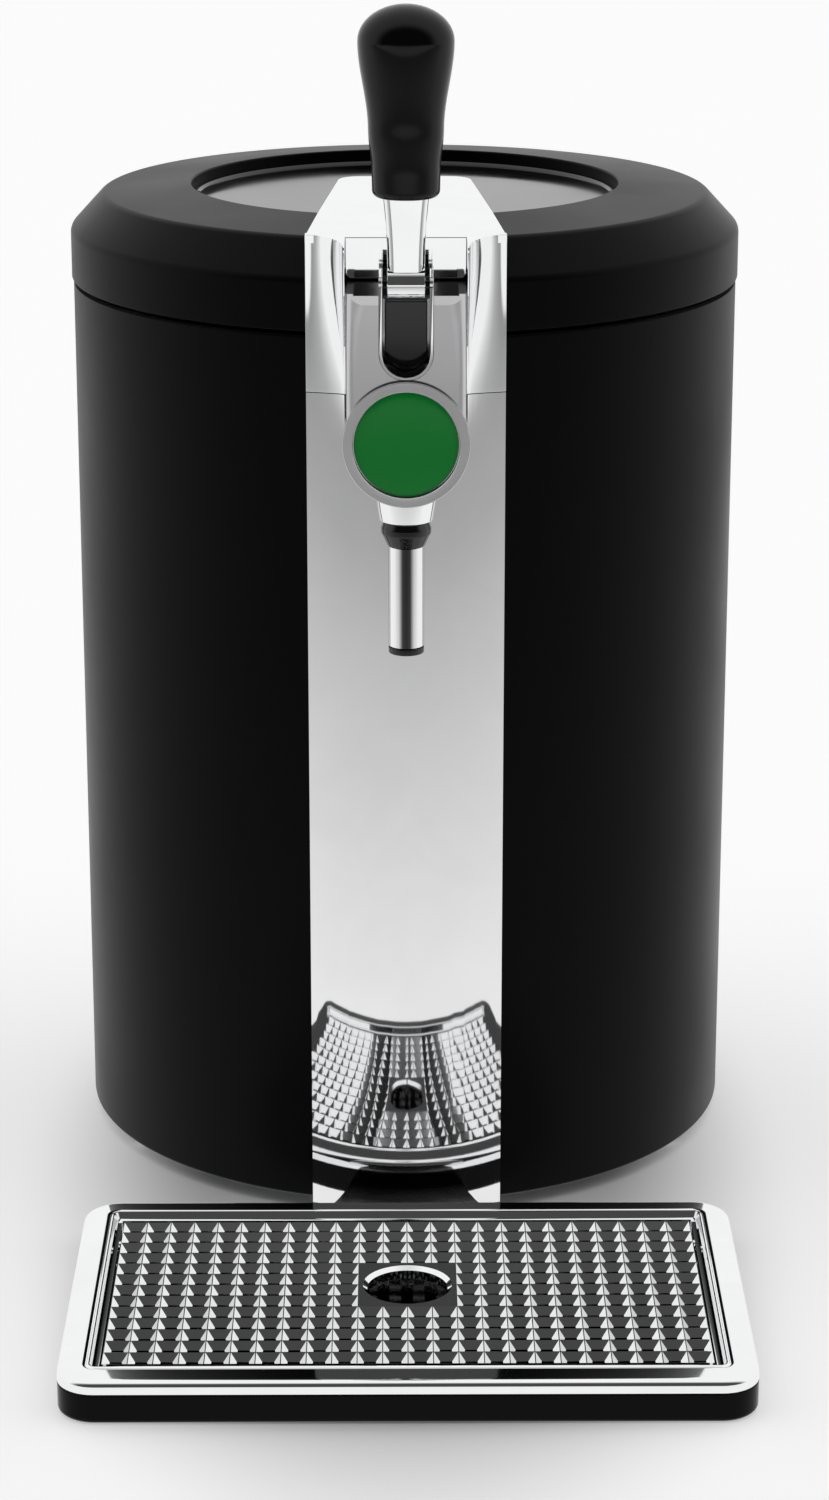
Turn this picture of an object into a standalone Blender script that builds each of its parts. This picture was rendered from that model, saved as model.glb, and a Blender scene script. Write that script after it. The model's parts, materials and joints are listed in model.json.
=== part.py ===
# Cooled mini keg dispenser: a round cooler with a hinged lid, a tap on a chrome column and a drip tray.
# Metres, +Z up. The origin is on the surface the dispenser stands on, under the middle of its bounding box.
# The tap faces -Y. Pieces are drawn in the frame of the drum's own axis, which an empty places.

import bpy
import bmesh
from math import atan2, ceil, cos, pi, radians, sin, sqrt, tan
from mathutils import Matrix, Vector

# Fits
GAP = 0.0003
SLIDE_GAP = 0.0006

# Keg well and its insulation: the keg decides how wide and how tall the drum is
WELL_RADIUS = 0.0880
WELL_DEPTH = 0.2700
WELL_WALL = 0.0015
WELL_FLANGE = 0.0087
FOAM_THICKNESS = 0.0282
FOAM_FLOOR_HOLE = 0.0550
CHASSIS_WALL = 0.0025
CHASSIS_LEDGE = 0.0140
COLLAR_RIM_HEIGHT = 0.0022
COLLAR_THICKNESS = 0.0060

# Drum
SHELL_CAVITY = 0.0128
SHELL_WALL = 0.0025
SHELL_BOTTOM = 0.0050
SHELL_EDGE = 0.0015
FLANGE_WIDTH = 0.0083
FLANGE_LIFT = 0.0038
FLANGE_THICKNESS = 0.0030
DRUM_SEGMENTS = 40

# Base plate, feet and screws
BASE_LIFT = 0.0009
BASE_THICKNESS = 0.0025
FOOT_RADIUS = 0.0120
FOOT_INSET = 0.0313
FOOT_ANGLE = radians(45)
SCREW_HEAD_RADIUS = 0.0030
SCREW_HEAD_HEIGHT = 0.0018
SCREW_RADIUS = 0.0014
SCREW_ANGLE = radians(30)
BASE_SLOT_COUNT = 7
BASE_SLOT_WIDTH = 0.0040
BASE_SLOT_PITCH = 0.0090
BASE_SLOT_LENGTH = 0.0560

# Cooling stack under the keg, from the top down
COLD_BLOCK_SIDE = 0.0700
COLD_BLOCK_HEIGHT = 0.0145
PELTIER_SIDE = 0.0400
PELTIER_HEIGHT = 0.0037
SINK_SIDE = 0.0900
SINK_HEIGHT = 0.0284
SINK_BASE = 0.0060
FIN_COUNT = 9
FIN_THICKNESS = 0.0022
FAN_SIDE = 0.0800
FAN_BORE_WALL = 0.0030
FAN_HUB_RADIUS = 0.0120
FAN_STRUT_WIDTH = 0.0040
FAN_STRUT_HEIGHT = 0.0025
FAN_STANDOFF = 0.0035
FAN_HEIGHT = 0.0215
FAN_SHAFT_RADIUS = 0.0020
FAN_SHAFT_LENGTH = 0.0110
BLADE_COUNT = 7
BLADE_CLEARANCE = 0.0018
BLADE_CHORD = 0.0130
BLADE_THICKNESS = 0.0013
BLADE_PITCH = radians(36)
ROTOR_HEIGHT = 0.0150
PROBE_RADIUS = 0.0030
PROBE_LENGTH = 0.0420
PROBE_DEPTH = 0.0220

# Electronics beside the fan, between the heat sink and the chassis ring
BOARD_GAP = 0.0080
BOARD_MARGIN = 0.0233
BOARD_Y = -0.0100
BOARD_LENGTH = 0.0700
BOARD_THICKNESS = 0.0016
BOARD_STANDOFF = 0.0050
BOARD_POST_RADIUS = 0.0025
CHIP_SIDE = 0.0120
CHIP_HEIGHT = 0.0030
COIL_RADIUS = 0.0060
COIL_HEIGHT = 0.0120
SUPPLY_GAP = 0.0070
SUPPLY_MARGIN = 0.0223
SUPPLY_Y = -0.0050
SUPPLY_LENGTH = 0.0860
SUPPLY_HEIGHT = 0.0300

# Recessed rear panel with its inlet, slots and switch
REAR_HALF_WIDTH = 0.0475
REAR_LIFT = 0.0081
REAR_HEIGHT = 0.0450
REAR_THICKNESS = 0.0030
REAR_RIM = 0.0020
REAR_SLOT_COUNT = 6
REAR_SLOT_WIDTH = 0.0280
REAR_SLOT_HEIGHT = 0.0030
REAR_SLOT_PITCH = 0.0060
REAR_SLOT_X = 0.0030
INLET_X = -0.0295
INLET_WIDTH = 0.0280
INLET_HEIGHT = 0.0220
INLET_RIM = 0.0020
INLET_FLANGE = 0.0016
INLET_DEPTH = 0.0200
INLET_WALL = 0.0020
SOCKET_DEPTH = 0.0150
PIN_WIDTH = 0.0020
PIN_SPACING = 0.0090
PIN_LENGTH = 0.0110
PIN_DROP = 0.0030
SWITCH_X = 0.0310
SWITCH_WIDTH = 0.0150
SWITCH_HEIGHT = 0.0210
SWITCH_FLANGE = 0.0016
SWITCH_RIM = 0.0013
SWITCH_WALL = 0.0012
SWITCH_DEPTH = 0.0130
ROCKER_THICKNESS = 0.0060
ROCKER_TILT = radians(6)
ROCKER_AXLE_RADIUS = 0.0010
ROCKER_AXLE_DEPTH = 0.0030

# Lid: heights from the shell's top edge up, widths from the skirt inwards
LID_OVERHANG = 0.0007
LID_SEAM = 0.0020
LID_SKIRT = 0.0195
LID_CHAMFER_DEPTH = 0.0130
LID_CHAMFER_HEIGHT = 0.0140
LID_SHELF = 0.0355
LID_SHELF_RISE = 0.0030
LID_SKIN = 0.0035
LID_CREASE = 0.0030
LEDGE_DROP = 0.0045
LEDGE_WIDTH = 0.0020
DISH_DROP = 0.0085
DISH_SLOPE = 0.0015
DISH_THICKNESS = 0.0022
LINER_LIFT = 0.0030
LINER_THICKNESS = 0.0040
PLUG_CLEARANCE = 0.0030
PLUG_DEPTH = 0.0120
GASKET_INSET = 0.0035
GASKET_WIDTH = 0.0050

# Lid hinge
HINGE_INSET = 0.0093
HINGE_LIFT = 0.0120
KNUCKLE_RADIUS = 0.0060
KNUCKLE_ARM = 0.0167
FIXED_KNUCKLE_HALF = 0.0142
LID_KNUCKLE_WIDTH = 0.0135
HINGE_PIN_RADIUS = 0.0020
HINGE_PAD_SIDE = 0.0158
HINGE_PAD_THICKNESS = 0.0020
NOTCH_SIDE = 0.0223
NOTCH_HEADROOM = 0.0010
NOTCH_DEPTH = 0.0195

# Column panel
PANEL_PROUD = 0.0049
PANEL_HALF_WIDTH = 0.0372
PANEL_WALL = 0.0015
PANEL_DROP = 0.0220
SEAM = 0.0003
COVE_BELOW_SEAM = 0.0220
COVE_RUN = 0.0790

# Chrome cap of the lid: a tongue over the recess, a fascia and two coved cheeks
CAP_STEP = 0.0005
CAP_THICKNESS = 0.0030
TONGUE_RIM_TAPER = 0.0039
TONGUE_END_TAPER = 0.0110
TONGUE_OVERRUN = 0.0080
TONGUE_CORNER = 0.0090
FASCIA_HEIGHT = 0.0153
FASCIA_THICKNESS = 0.0022
CHEEK_PROUD = 0.0233
CHEEK_EDGE = 0.0006
COVE_POWER = 1.6
COVE_EASE = 1.5

# Tap housing: heights from its top edge down, depths from its front face back
HOUSING_DEPTH = 0.0295
HOUSING_HALF = 0.0220
HOUSING_DROP = 0.0010
HOUSING_EDGE = 0.0045
HOUSING_WALL = 0.0028
HOUSING_LIP = 0.0011
BADGE_DROP = 0.0545
POCKET_DEPTH = 0.0337
BRACKET_HEIGHT = 0.0167
SLOT_HALF = 0.0088
SLOT_DROP = 0.0212
YOKE_WALL = 0.0010
YOKE_DEPTH = 0.0150
EAR_RISE = 0.0093
EAR_TRIM = 0.0022
CORE_CLEARANCE = 0.0010
CORE_BELOW_SLOT = 0.0080
CORE_SINK = 0.0047
CORE_SETBACK = 0.0160

# Badge
BADGE_RADIUS = 0.0192
BADGE_RING_WIDTH = 0.0042
BADGE_RING_DEPTH = 0.0040
BADGE_INSET = 0.0008
BADGE_BACK = 0.0012

# Tap lever and grip: heights from the lever's pin up
LEVER_SETBACK = 0.0100
LEVER_RISE = 0.0028
HUB_RADIUS = 0.0062
STEM_CLEARANCE = 0.0021
STEM_FLARE = 0.0019
STEM_DEPTH = 0.0084
STEM_LENGTH = 0.0343
LEVER_PIN_RADIUS = 0.0018
SPIGOT_RADIUS = 0.0040
SPIGOT_LENGTH = 0.0180
GRIP_OVERLAP = 0.0030
GRIP_FOOT_WALL = 0.0038
GRIP_FOOT_HEIGHT = 0.0092
GRIP_WAIST_SWELL = 0.0013
GRIP_WAIST_RISE = 0.0155
GRIP_HEAD_SWELL = 0.0037
GRIP_HEAD_RISE = 0.0310
GRIP_DOME = 0.0130
GRIP_DEPTH_RATIO = 0.92
GRIP_SEGMENTS = 20

# Spout: heights from the housing's lower end down
SPOUT_SETBACK = 0.0120
TUBE_RADIUS = 0.00665
TUBE_BORE = 0.0046
TUBE_NECK_WALL = 0.0010
TUBE_NECK_REACH = 0.0030
TUBE_LENGTH = 0.0385
HOLDER_RADIUS = 0.0099
HOLDER_FLARE = 0.0019
HOLDER_RISE = 0.0028
HOLDER_LENGTH = 0.0120
HOLDER_SEAT = 0.0120
COLLAR_STEP = 0.0015
COLLAR_SWELL = 0.0009
COLLAR_FOOT_STEP = 0.00045
COLLAR_WIDEST_DROP = 0.0053
COLLAR_LENGTH = 0.0095
TIP_LENGTH = 0.0029
TIP_BORE = 0.0034
TIP_PLUG = 0.0060
SPOUT_SEGMENTS = 20

# Drip tray
TRAY_HALF_WIDTH = 0.1250
TRAY_LENGTH = 0.1554
TRAY_GAP = 0.0188
TRAY_CORNER = 0.0140
TRAY_WALL = 0.0030
TRAY_FLOOR = 0.0020
TRAY_BASE_TOP = 0.0113
TRAY_TONGUE_HALF = 0.0300
TRAY_TONGUE_REACH = 0.0173
TRAY_TONGUE_LIFT = 0.0006
RIM_WIDTH = 0.0148
RIM_LIP = 0.0033
RIM_BEVEL = 0.0024
RIM_SKIRT = 0.0023
RIM_LEDGE_WIDTH = 0.0032
RIM_LEDGE_THICKNESS = 0.0012
RIM_GROOVE = 0.0013

# Drip grille: inverted pyramids with a slot in the bottom of each, round a plain plate with one large hole
GRILLE_SINK = 0.0020
GRILLE_END_GAP = 0.00172
CELL_COLUMNS = 24
CELL_ROWS = 13
CELL_SLOT = 0.0024
GRILLE_BORDER = 0.0006
PLATE_CELLS = 4
PLATE_FIRST_ROW = 5
DRAIN_RADIUS = 0.0150
DRAIN_CHAMFER = 0.0012

# Widths worked out from the keg outwards
WELL_OUTER = WELL_RADIUS + WELL_WALL
FOAM_RADIUS = WELL_OUTER + GAP + FOAM_THICKNESS
SHELL_INNER = FOAM_RADIUS + SHELL_CAVITY
SHELL_RADIUS = SHELL_INNER + SHELL_WALL
CHASSIS_INNER = FOAM_RADIUS + GAP
CHASSIS_OUTER = CHASSIS_INNER + CHASSIS_WALL
FLANGE_INNER_RADIUS = SHELL_INNER - FLANGE_WIDTH
SCREW_CIRCLE = SHELL_INNER - FLANGE_WIDTH / 2
FOOT_CIRCLE = SHELL_RADIUS - FOOT_INSET
LID_RADIUS = SHELL_RADIUS + LID_OVERHANG
LID_CHAMFER_RADIUS = LID_RADIUS - LID_CHAMFER_DEPTH
RECESS_RADIUS = LID_CHAMFER_RADIUS - LID_SHELF
RECESS_LEDGE_RADIUS = RECESS_RADIUS - LEDGE_WIDTH
DISH_RADIUS = RECESS_LEDGE_RADIUS - DISH_SLOPE
PLUG_RADIUS = WELL_RADIUS - PLUG_CLEARANCE
GASKET_RADIUS = WELL_OUTER + GASKET_INSET
PANEL_RADIUS = SHELL_RADIUS + PANEL_PROUD
FAN_BORE_RADIUS = FAN_SIDE / 2 - FAN_BORE_WALL
BLADE_RADIUS = FAN_BORE_RADIUS - BLADE_CLEARANCE
BADGE_RING_RADIUS = BADGE_RADIUS + BADGE_RING_WIDTH
TUBE_NECK_RADIUS = TUBE_BORE + TUBE_NECK_WALL
HOLDER_TOP_RADIUS = HOLDER_RADIUS + HOLDER_FLARE
COLLAR_TOP_RADIUS = HOLDER_RADIUS - COLLAR_STEP
COLLAR_RADIUS = COLLAR_TOP_RADIUS + COLLAR_SWELL
COLLAR_FOOT_RADIUS = TUBE_RADIUS + COLLAR_FOOT_STEP

# Heights worked out from the table up
BASE_BOTTOM = SHELL_BOTTOM + BASE_LIFT
BASE_TOP = BASE_BOTTOM + BASE_THICKNESS
BAY_FLOOR = BASE_TOP + GAP
FAN_BOTTOM = BAY_FLOOR + FAN_STANDOFF
FAN_TOP = FAN_BOTTOM + FAN_HEIGHT
SINK_BOTTOM = FAN_TOP + GAP
SINK_TOP = SINK_BOTTOM + SINK_HEIGHT
FOAM_BOTTOM = SINK_TOP + SLIDE_GAP
PELTIER_BOTTOM = SINK_TOP + GAP
PELTIER_TOP = PELTIER_BOTTOM + PELTIER_HEIGHT
COLD_BLOCK_BOTTOM = PELTIER_TOP + GAP
COLD_BLOCK_TOP = COLD_BLOCK_BOTTOM + COLD_BLOCK_HEIGHT
WELL_UNDER = COLD_BLOCK_TOP + GAP
FOAM_SEAT = WELL_UNDER - GAP
WELL_FLOOR = WELL_UNDER + WELL_WALL
SHELL_TOP = WELL_FLOOR + WELL_DEPTH
COLLAR_TOP = SHELL_TOP - GAP
COLLAR_BOTTOM_Z = COLLAR_TOP - COLLAR_RIM_HEIGHT - COLLAR_THICKNESS
WELL_FLANGE_Z = COLLAR_TOP - COLLAR_RIM_HEIGHT + GAP
WELL_TOP = WELL_FLANGE_Z + WELL_WALL
FOAM_TOP = COLLAR_BOTTOM_Z - GAP
REAR_BOTTOM = BASE_TOP + REAR_LIFT
REAR_TOP = REAR_BOTTOM + REAR_HEIGHT
REAR_MIDDLE = (REAR_BOTTOM + REAR_TOP) / 2
LID_BOTTOM = SHELL_TOP + LID_SEAM
LID_SIDE_TOP = LID_BOTTOM + LID_SKIRT
LID_CHAMFER_TOP = LID_SIDE_TOP + LID_CHAMFER_HEIGHT
LID_TOP = LID_CHAMFER_TOP + LID_SHELF_RISE
RECESS_LEDGE = LID_TOP - LEDGE_DROP
DISH_TOP = LID_TOP - DISH_DROP
LINER_BOTTOM = LID_BOTTOM + LINER_LIFT
LINER_TOP = LINER_BOTTOM + LINER_THICKNESS
HINGE_Z = SHELL_TOP + HINGE_LIFT
NOTCH_TOP = HINGE_Z + KNUCKLE_RADIUS + NOTCH_HEADROOM
PANEL_BOTTOM = SHELL_BOTTOM
PANEL_TOP = LID_BOTTOM - PANEL_DROP
COVE_START = PANEL_TOP - COVE_BELOW_SEAM
COVE_FULL = COVE_START + COVE_RUN
CAP_TOP = LID_TOP + CAP_STEP
FASCIA_BOTTOM = CAP_TOP - FASCIA_HEIGHT
HOUSING_TOP = FASCIA_BOTTOM - HOUSING_DROP
BADGE_Z = HOUSING_TOP - BADGE_DROP
POCKET_FLOOR = HOUSING_TOP - POCKET_DEPTH
BRACKET_TOP = PANEL_TOP + SEAM + BRACKET_HEIGHT
SLOT_CENTRE = HOUSING_TOP - SLOT_DROP
EAR_TOP = HOUSING_TOP + EAR_RISE
CORE_BOTTOM = SLOT_CENTRE - CORE_BELOW_SLOT
CORE_TOP = HOUSING_TOP - CORE_SINK
LEVER_Z = HOUSING_TOP + LEVER_RISE
STEM_TOP = LEVER_Z + STEM_LENGTH
GRIP_BOTTOM = STEM_TOP - GRIP_OVERLAP
GRIP_WAIST_Z = GRIP_BOTTOM + GRIP_FOOT_HEIGHT + GRIP_WAIST_RISE
GRIP_HEAD_Z = GRIP_WAIST_Z + GRIP_HEAD_RISE
GRIP_TOP = GRIP_HEAD_Z + GRIP_DOME
HOLDER_SHOULDER = BADGE_Z - HOUSING_HALF + HOLDER_RISE
HOLDER_BOTTOM = HOLDER_SHOULDER - HOLDER_LENGTH
COLLAR_WIDEST = HOLDER_BOTTOM - COLLAR_WIDEST_DROP
COLLAR_BOTTOM = HOLDER_BOTTOM - COLLAR_LENGTH
TUBE_NECK_TOP = HOLDER_SHOULDER + TUBE_NECK_REACH
TUBE_BOTTOM = COLLAR_BOTTOM - TUBE_LENGTH
TIP_BOTTOM = TUBE_BOTTOM - TIP_LENGTH
RIM_LIP_TOP = TRAY_BASE_TOP + RIM_LIP
RIM_TOP = RIM_LIP_TOP + RIM_BEVEL
RIM_BOTTOM = TRAY_BASE_TOP - RIM_SKIRT
RIM_LEDGE_TOP = RIM_BOTTOM + RIM_LEDGE_THICKNESS
GRILLE_TOP = RIM_TOP - GRILLE_SINK
GRILLE_BOTTOM = RIM_LEDGE_TOP + GAP

# Depths and half widths worked out from the drum's axis
TRAY_REAR = PANEL_RADIUS + TRAY_GAP
TRAY_FRONT = TRAY_REAR + TRAY_LENGTH
TRAY_TONGUE_END = SHELL_RADIUS - TRAY_TONGUE_REACH
OVERALL_DEPTH = TRAY_FRONT + LID_RADIUS
AXIS_Y = OVERALL_DEPTH / 2 - LID_RADIUS
REAR_FACE = sqrt(SHELL_RADIUS**2 - REAR_HALF_WIDTH**2)
HINGE_Y = SHELL_RADIUS - HINGE_INSET
HINGE_ROOM_Y = HINGE_Y - KNUCKLE_ARM
NOTCH_HALF_WIDTH = FIXED_KNUCKLE_HALF + LID_KNUCKLE_WIDTH + NOTCH_SIDE
HINGE_PAD_HALF = FIXED_KNUCKLE_HALF + HINGE_PAD_SIDE
HOUSING_BACK = PANEL_RADIUS + GAP
HOUSING_FRONT = HOUSING_BACK + HOUSING_DEPTH
CHEEK_REACH = PANEL_RADIUS + CHEEK_PROUD
CHEEK_INNER = HOUSING_HALF + GAP
COVE_TIP = CHEEK_INNER + CHEEK_EDGE
TONGUE_RIM_HALF = PANEL_HALF_WIDTH - TONGUE_RIM_TAPER
TONGUE_END_HALF = PANEL_HALF_WIDTH - TONGUE_END_TAPER
CORE_HALF = SLOT_HALF - CORE_CLEARANCE
CORE_FRONT = HOUSING_FRONT - CORE_SETBACK
LEVER_Y = HOUSING_FRONT - LEVER_SETBACK
SPOUT_Y = HOUSING_FRONT - SPOUT_SETBACK
STEM_FOOT_HALF = SLOT_HALF - STEM_CLEARANCE
STEM_HEAD_HALF = STEM_FOOT_HALF + STEM_FLARE
GRIP_FOOT_RADIUS = STEM_HEAD_HALF + GRIP_FOOT_WALL
GRIP_WAIST_RADIUS = GRIP_FOOT_RADIUS + GRIP_WAIST_SWELL
GRIP_HEAD_RADIUS = GRIP_WAIST_RADIUS + GRIP_HEAD_SWELL
GRILLE_HALF = TRAY_HALF_WIDTH - RIM_WIDTH - GAP
CELL_WIDTH = 2 * (GRILLE_HALF - GRILLE_BORDER) / CELL_COLUMNS
GRILLE_HALF_LENGTH = TRAY_LENGTH / 2 - RIM_WIDTH - GRILLE_END_GAP
CELL_LENGTH = 2 * (GRILLE_HALF_LENGTH - GRILLE_BORDER) / CELL_ROWS
GRILLE_MIDDLE_Y = -(TRAY_FRONT + TRAY_REAR) / 2


# Materials
def finish(name, colour, roughness, metallic):
    material = bpy.data.materials.new(name)
    material.use_nodes = True
    shader = material.node_tree.nodes["Principled BSDF"]
    shader.inputs["Base Color"].default_value = (*colour, 1.0)
    shader.inputs["Roughness"].default_value = roughness
    shader.inputs["Metallic"].default_value = metallic
    material.diffuse_color = (*colour, 1.0)
    return material


# Outlines: a list of corners, each (a, b) or (a, b, radius), becomes a list of points with arcs at the corners
def rounded(corners, steps=4):
    outline = []
    for index, corner in enumerate(corners):
        here = Vector(corner[:2])
        radius = corner[2] if len(corner) > 2 else 0
        if not radius:
            outline.append(here)
            continue
        back = (Vector(corners[index - 1][:2]) - here).normalized()
        ahead = (Vector(corners[(index + 1) % len(corners)][:2]) - here).normalized()
        half_angle = back.angle(ahead) / 2
        centre = here + (back + ahead).normalized() * radius / sin(half_angle)
        start = here + back * radius / tan(half_angle) - centre
        turn = (pi - 2 * half_angle) * (1 if back.cross(ahead) < 0 else -1)
        for step in range(steps + 1):
            outline.append(centre + Matrix.Rotation(turn * step / steps, 2) @ start)
    return outline


def arc(radius, start, end, steps, centre=(0, 0)):
    angles = [start + (end - start) * step / steps for step in range(steps + 1)]
    return [Vector((centre[0] + radius * cos(angle), centre[1] + radius * sin(angle))) for angle in angles]


# Meshes, each one closed body
def closed(mesh):
    bmesh.ops.remove_doubles(mesh, verts=mesh.verts, dist=1e-7)
    bmesh.ops.recalc_face_normals(mesh, faces=mesh.faces)
    return mesh


def turned(profile, segments=DRUM_SEGMENTS, centre_y=0.0, open_profile=False):
    mesh = bmesh.new()
    corners = [mesh.verts.new((point[0], 0, point[1])) for point in profile]
    edges = [mesh.edges.new(pair) for pair in zip(corners, corners[1:])]
    if not open_profile:
        edges.append(mesh.edges.new((corners[-1], corners[0])))
    bmesh.ops.spin(
        mesh,
        geom=corners + edges,
        cent=(0, 0, 0),
        axis=(0, 0, 1),
        dvec=(0, 0, 0),
        angle=2 * pi,
        steps=segments,
        use_merge=True,
    )
    bmesh.ops.translate(mesh, verts=mesh.verts, vec=(0, centre_y, 0))
    return closed(mesh)


def prism(outline, along, start, end):
    places = {
        "X": lambda point: (start, point[0], point[1]),
        "Y": lambda point: (point[0], start, point[1]),
        "Z": lambda point: (point[0], point[1], start),
    }
    axis = {"X": Vector((1, 0, 0)), "Y": Vector((0, 1, 0)), "Z": Vector((0, 0, 1))}[along]
    mesh = bmesh.new()
    face = mesh.faces.new([mesh.verts.new(places[along](point)) for point in outline])
    pushed = bmesh.ops.extrude_face_region(mesh, geom=[face], use_keep_orig=True)
    moved = [item for item in pushed["geom"] if isinstance(item, bmesh.types.BMVert)]
    bmesh.ops.translate(mesh, verts=moved, vec=axis * (end - start))
    return closed(mesh)


def box(x_range, y_range, z_range):
    mesh = bmesh.new()
    sizes = [high - low for low, high in (x_range, y_range, z_range)]
    middle = Vector([(low + high) / 2 for low, high in (x_range, y_range, z_range)])
    bmesh.ops.create_cube(mesh, size=1, matrix=Matrix.Translation(middle) @ Matrix.Diagonal((*sizes, 1)))
    return mesh


def rod(centre, radius, along, start, end, segments=16):
    quarter = radians(90)
    turns = {"X": Matrix.Rotation(quarter, 4, "Y"), "Y": Matrix.Rotation(-quarter, 4, "X"), "Z": Matrix()}
    place = Vector(centre)
    place["XYZ".index(along)] = (start + end) / 2
    mesh = bmesh.new()
    bmesh.ops.create_cone(
        mesh,
        cap_ends=True,
        segments=segments,
        radius1=radius,
        radius2=radius,
        depth=end - start,
        matrix=Matrix.Translation(place) @ turns[along],
    )
    return mesh


def lofted(sections, closed_loop=False):
    mesh = bmesh.new()
    rings = [[mesh.verts.new(point) for point in section] for section in sections]
    pairs = list(zip(rings, rings[1:]))
    if closed_loop:
        pairs.append((rings[-1], rings[0]))
    for lower, upper in pairs:
        for index in range(len(lower)):
            after = (index + 1) % len(lower)
            mesh.faces.new((lower[index], lower[after], upper[after], upper[index]))
    if not closed_loop:
        mesh.faces.new(rings[0])
        mesh.faces.new(rings[-1])
    return closed(mesh)


# Objects: every mesh is drawn in the drum's frame and hangs from an empty that places it
def stand(name, place, parent=None):
    empty = bpy.data.objects.new(name, None)
    empty.empty_display_size = 0.02
    empty.parent = parent
    empty.location = place
    bpy.context.collection.objects.link(empty)
    return empty


def piece(name, mesh, material, carrier, smooth=30):
    data = bpy.data.meshes.new(name)
    mesh.to_mesh(data)
    mesh.free()
    data.materials.append(material)
    data.shade_smooth()
    data.set_sharp_from_angle(angle=radians(smooth))
    made = bpy.data.objects.new(name, data)
    made.parent = carrier
    made.location = -carrier.location if carrier.parent else Vector((0, 0, 0))
    bpy.context.collection.objects.link(made)
    return made


def shaped(target, mesh, operation="DIFFERENCE"):
    data = bpy.data.meshes.new(target.name + "_tool")
    mesh.to_mesh(data)
    mesh.free()
    tool = bpy.data.objects.new(data.name, data)
    tool.parent = target.parent
    tool.location = target.location
    tool.hide_render = True
    tool.display_type = "WIRE"
    bpy.context.collection.objects.link(tool)
    modifier = target.modifiers.new(tool.name, "BOOLEAN")
    modifier.operation = operation
    modifier.object = tool
    modifier.solver = "EXACT"
    return target


def joined(target, mesh):
    return shaped(target, mesh, "UNION")


# The cove runs from the column's side edge in to the tap, and deepens with height
def cove_share(z):
    share = min(max((z - COVE_START) / (COVE_FULL - COVE_START), 0), 1) ** COVE_EASE
    return share * share * (3 - 2 * share)


def cove(z, steps=8):
    edge_y = sqrt(PANEL_RADIUS**2 - PANEL_HALF_WIDTH**2)
    points = []
    for step in range(steps + 1):
        run = step / steps
        x = COVE_TIP + (PANEL_HALF_WIDTH - COVE_TIP) * (1 - run) ** COVE_POWER
        deep = edge_y + (CHEEK_REACH - edge_y) * run
        flat = sqrt(PANEL_RADIUS**2 - x**2)
        points.append(Vector((x, -flat - (deep - flat) * cove_share(z))))
    return points


def on_circle(radius, x):
    return -sqrt(radius**2 - x**2)


def mirrored(points):
    return [Vector((-point[0], point[1])) for point in reversed(points)]


def at_height(points, z):
    return [(point[0], point[1], z) for point in points]


def make_materials():
    return {
        "black_satin": finish("black_satin", (0.022, 0.022, 0.023), 0.42, 0.0),
        "black_gloss": finish("black_gloss", (0.012, 0.012, 0.013), 0.12, 0.0),
        "chrome": finish("chrome", (0.86, 0.87, 0.88), 0.07, 1.0),
        "polished_steel": finish("polished_steel", (0.70, 0.71, 0.72), 0.16, 1.0),
        "satin_silver": finish("satin_silver", (0.52, 0.52, 0.53), 0.34, 0.9),
        "aluminium": finish("aluminium", (0.72, 0.73, 0.75), 0.38, 1.0),
        "rubber": finish("rubber", (0.020, 0.020, 0.020), 0.75, 0.0),
        "grey_plastic": finish("grey_plastic", (0.30, 0.31, 0.32), 0.55, 0.0),
        "foam": finish("foam", (0.82, 0.80, 0.72), 0.90, 0.0),
        "circuit": finish("circuit", (0.02, 0.16, 0.06), 0.50, 0.0),
        "ceramic": finish("ceramic", (0.88, 0.88, 0.86), 0.45, 0.0),
        "badge_green": finish("badge_green", (0.004, 0.22, 0.030), 0.18, 0.0),
    }


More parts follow.
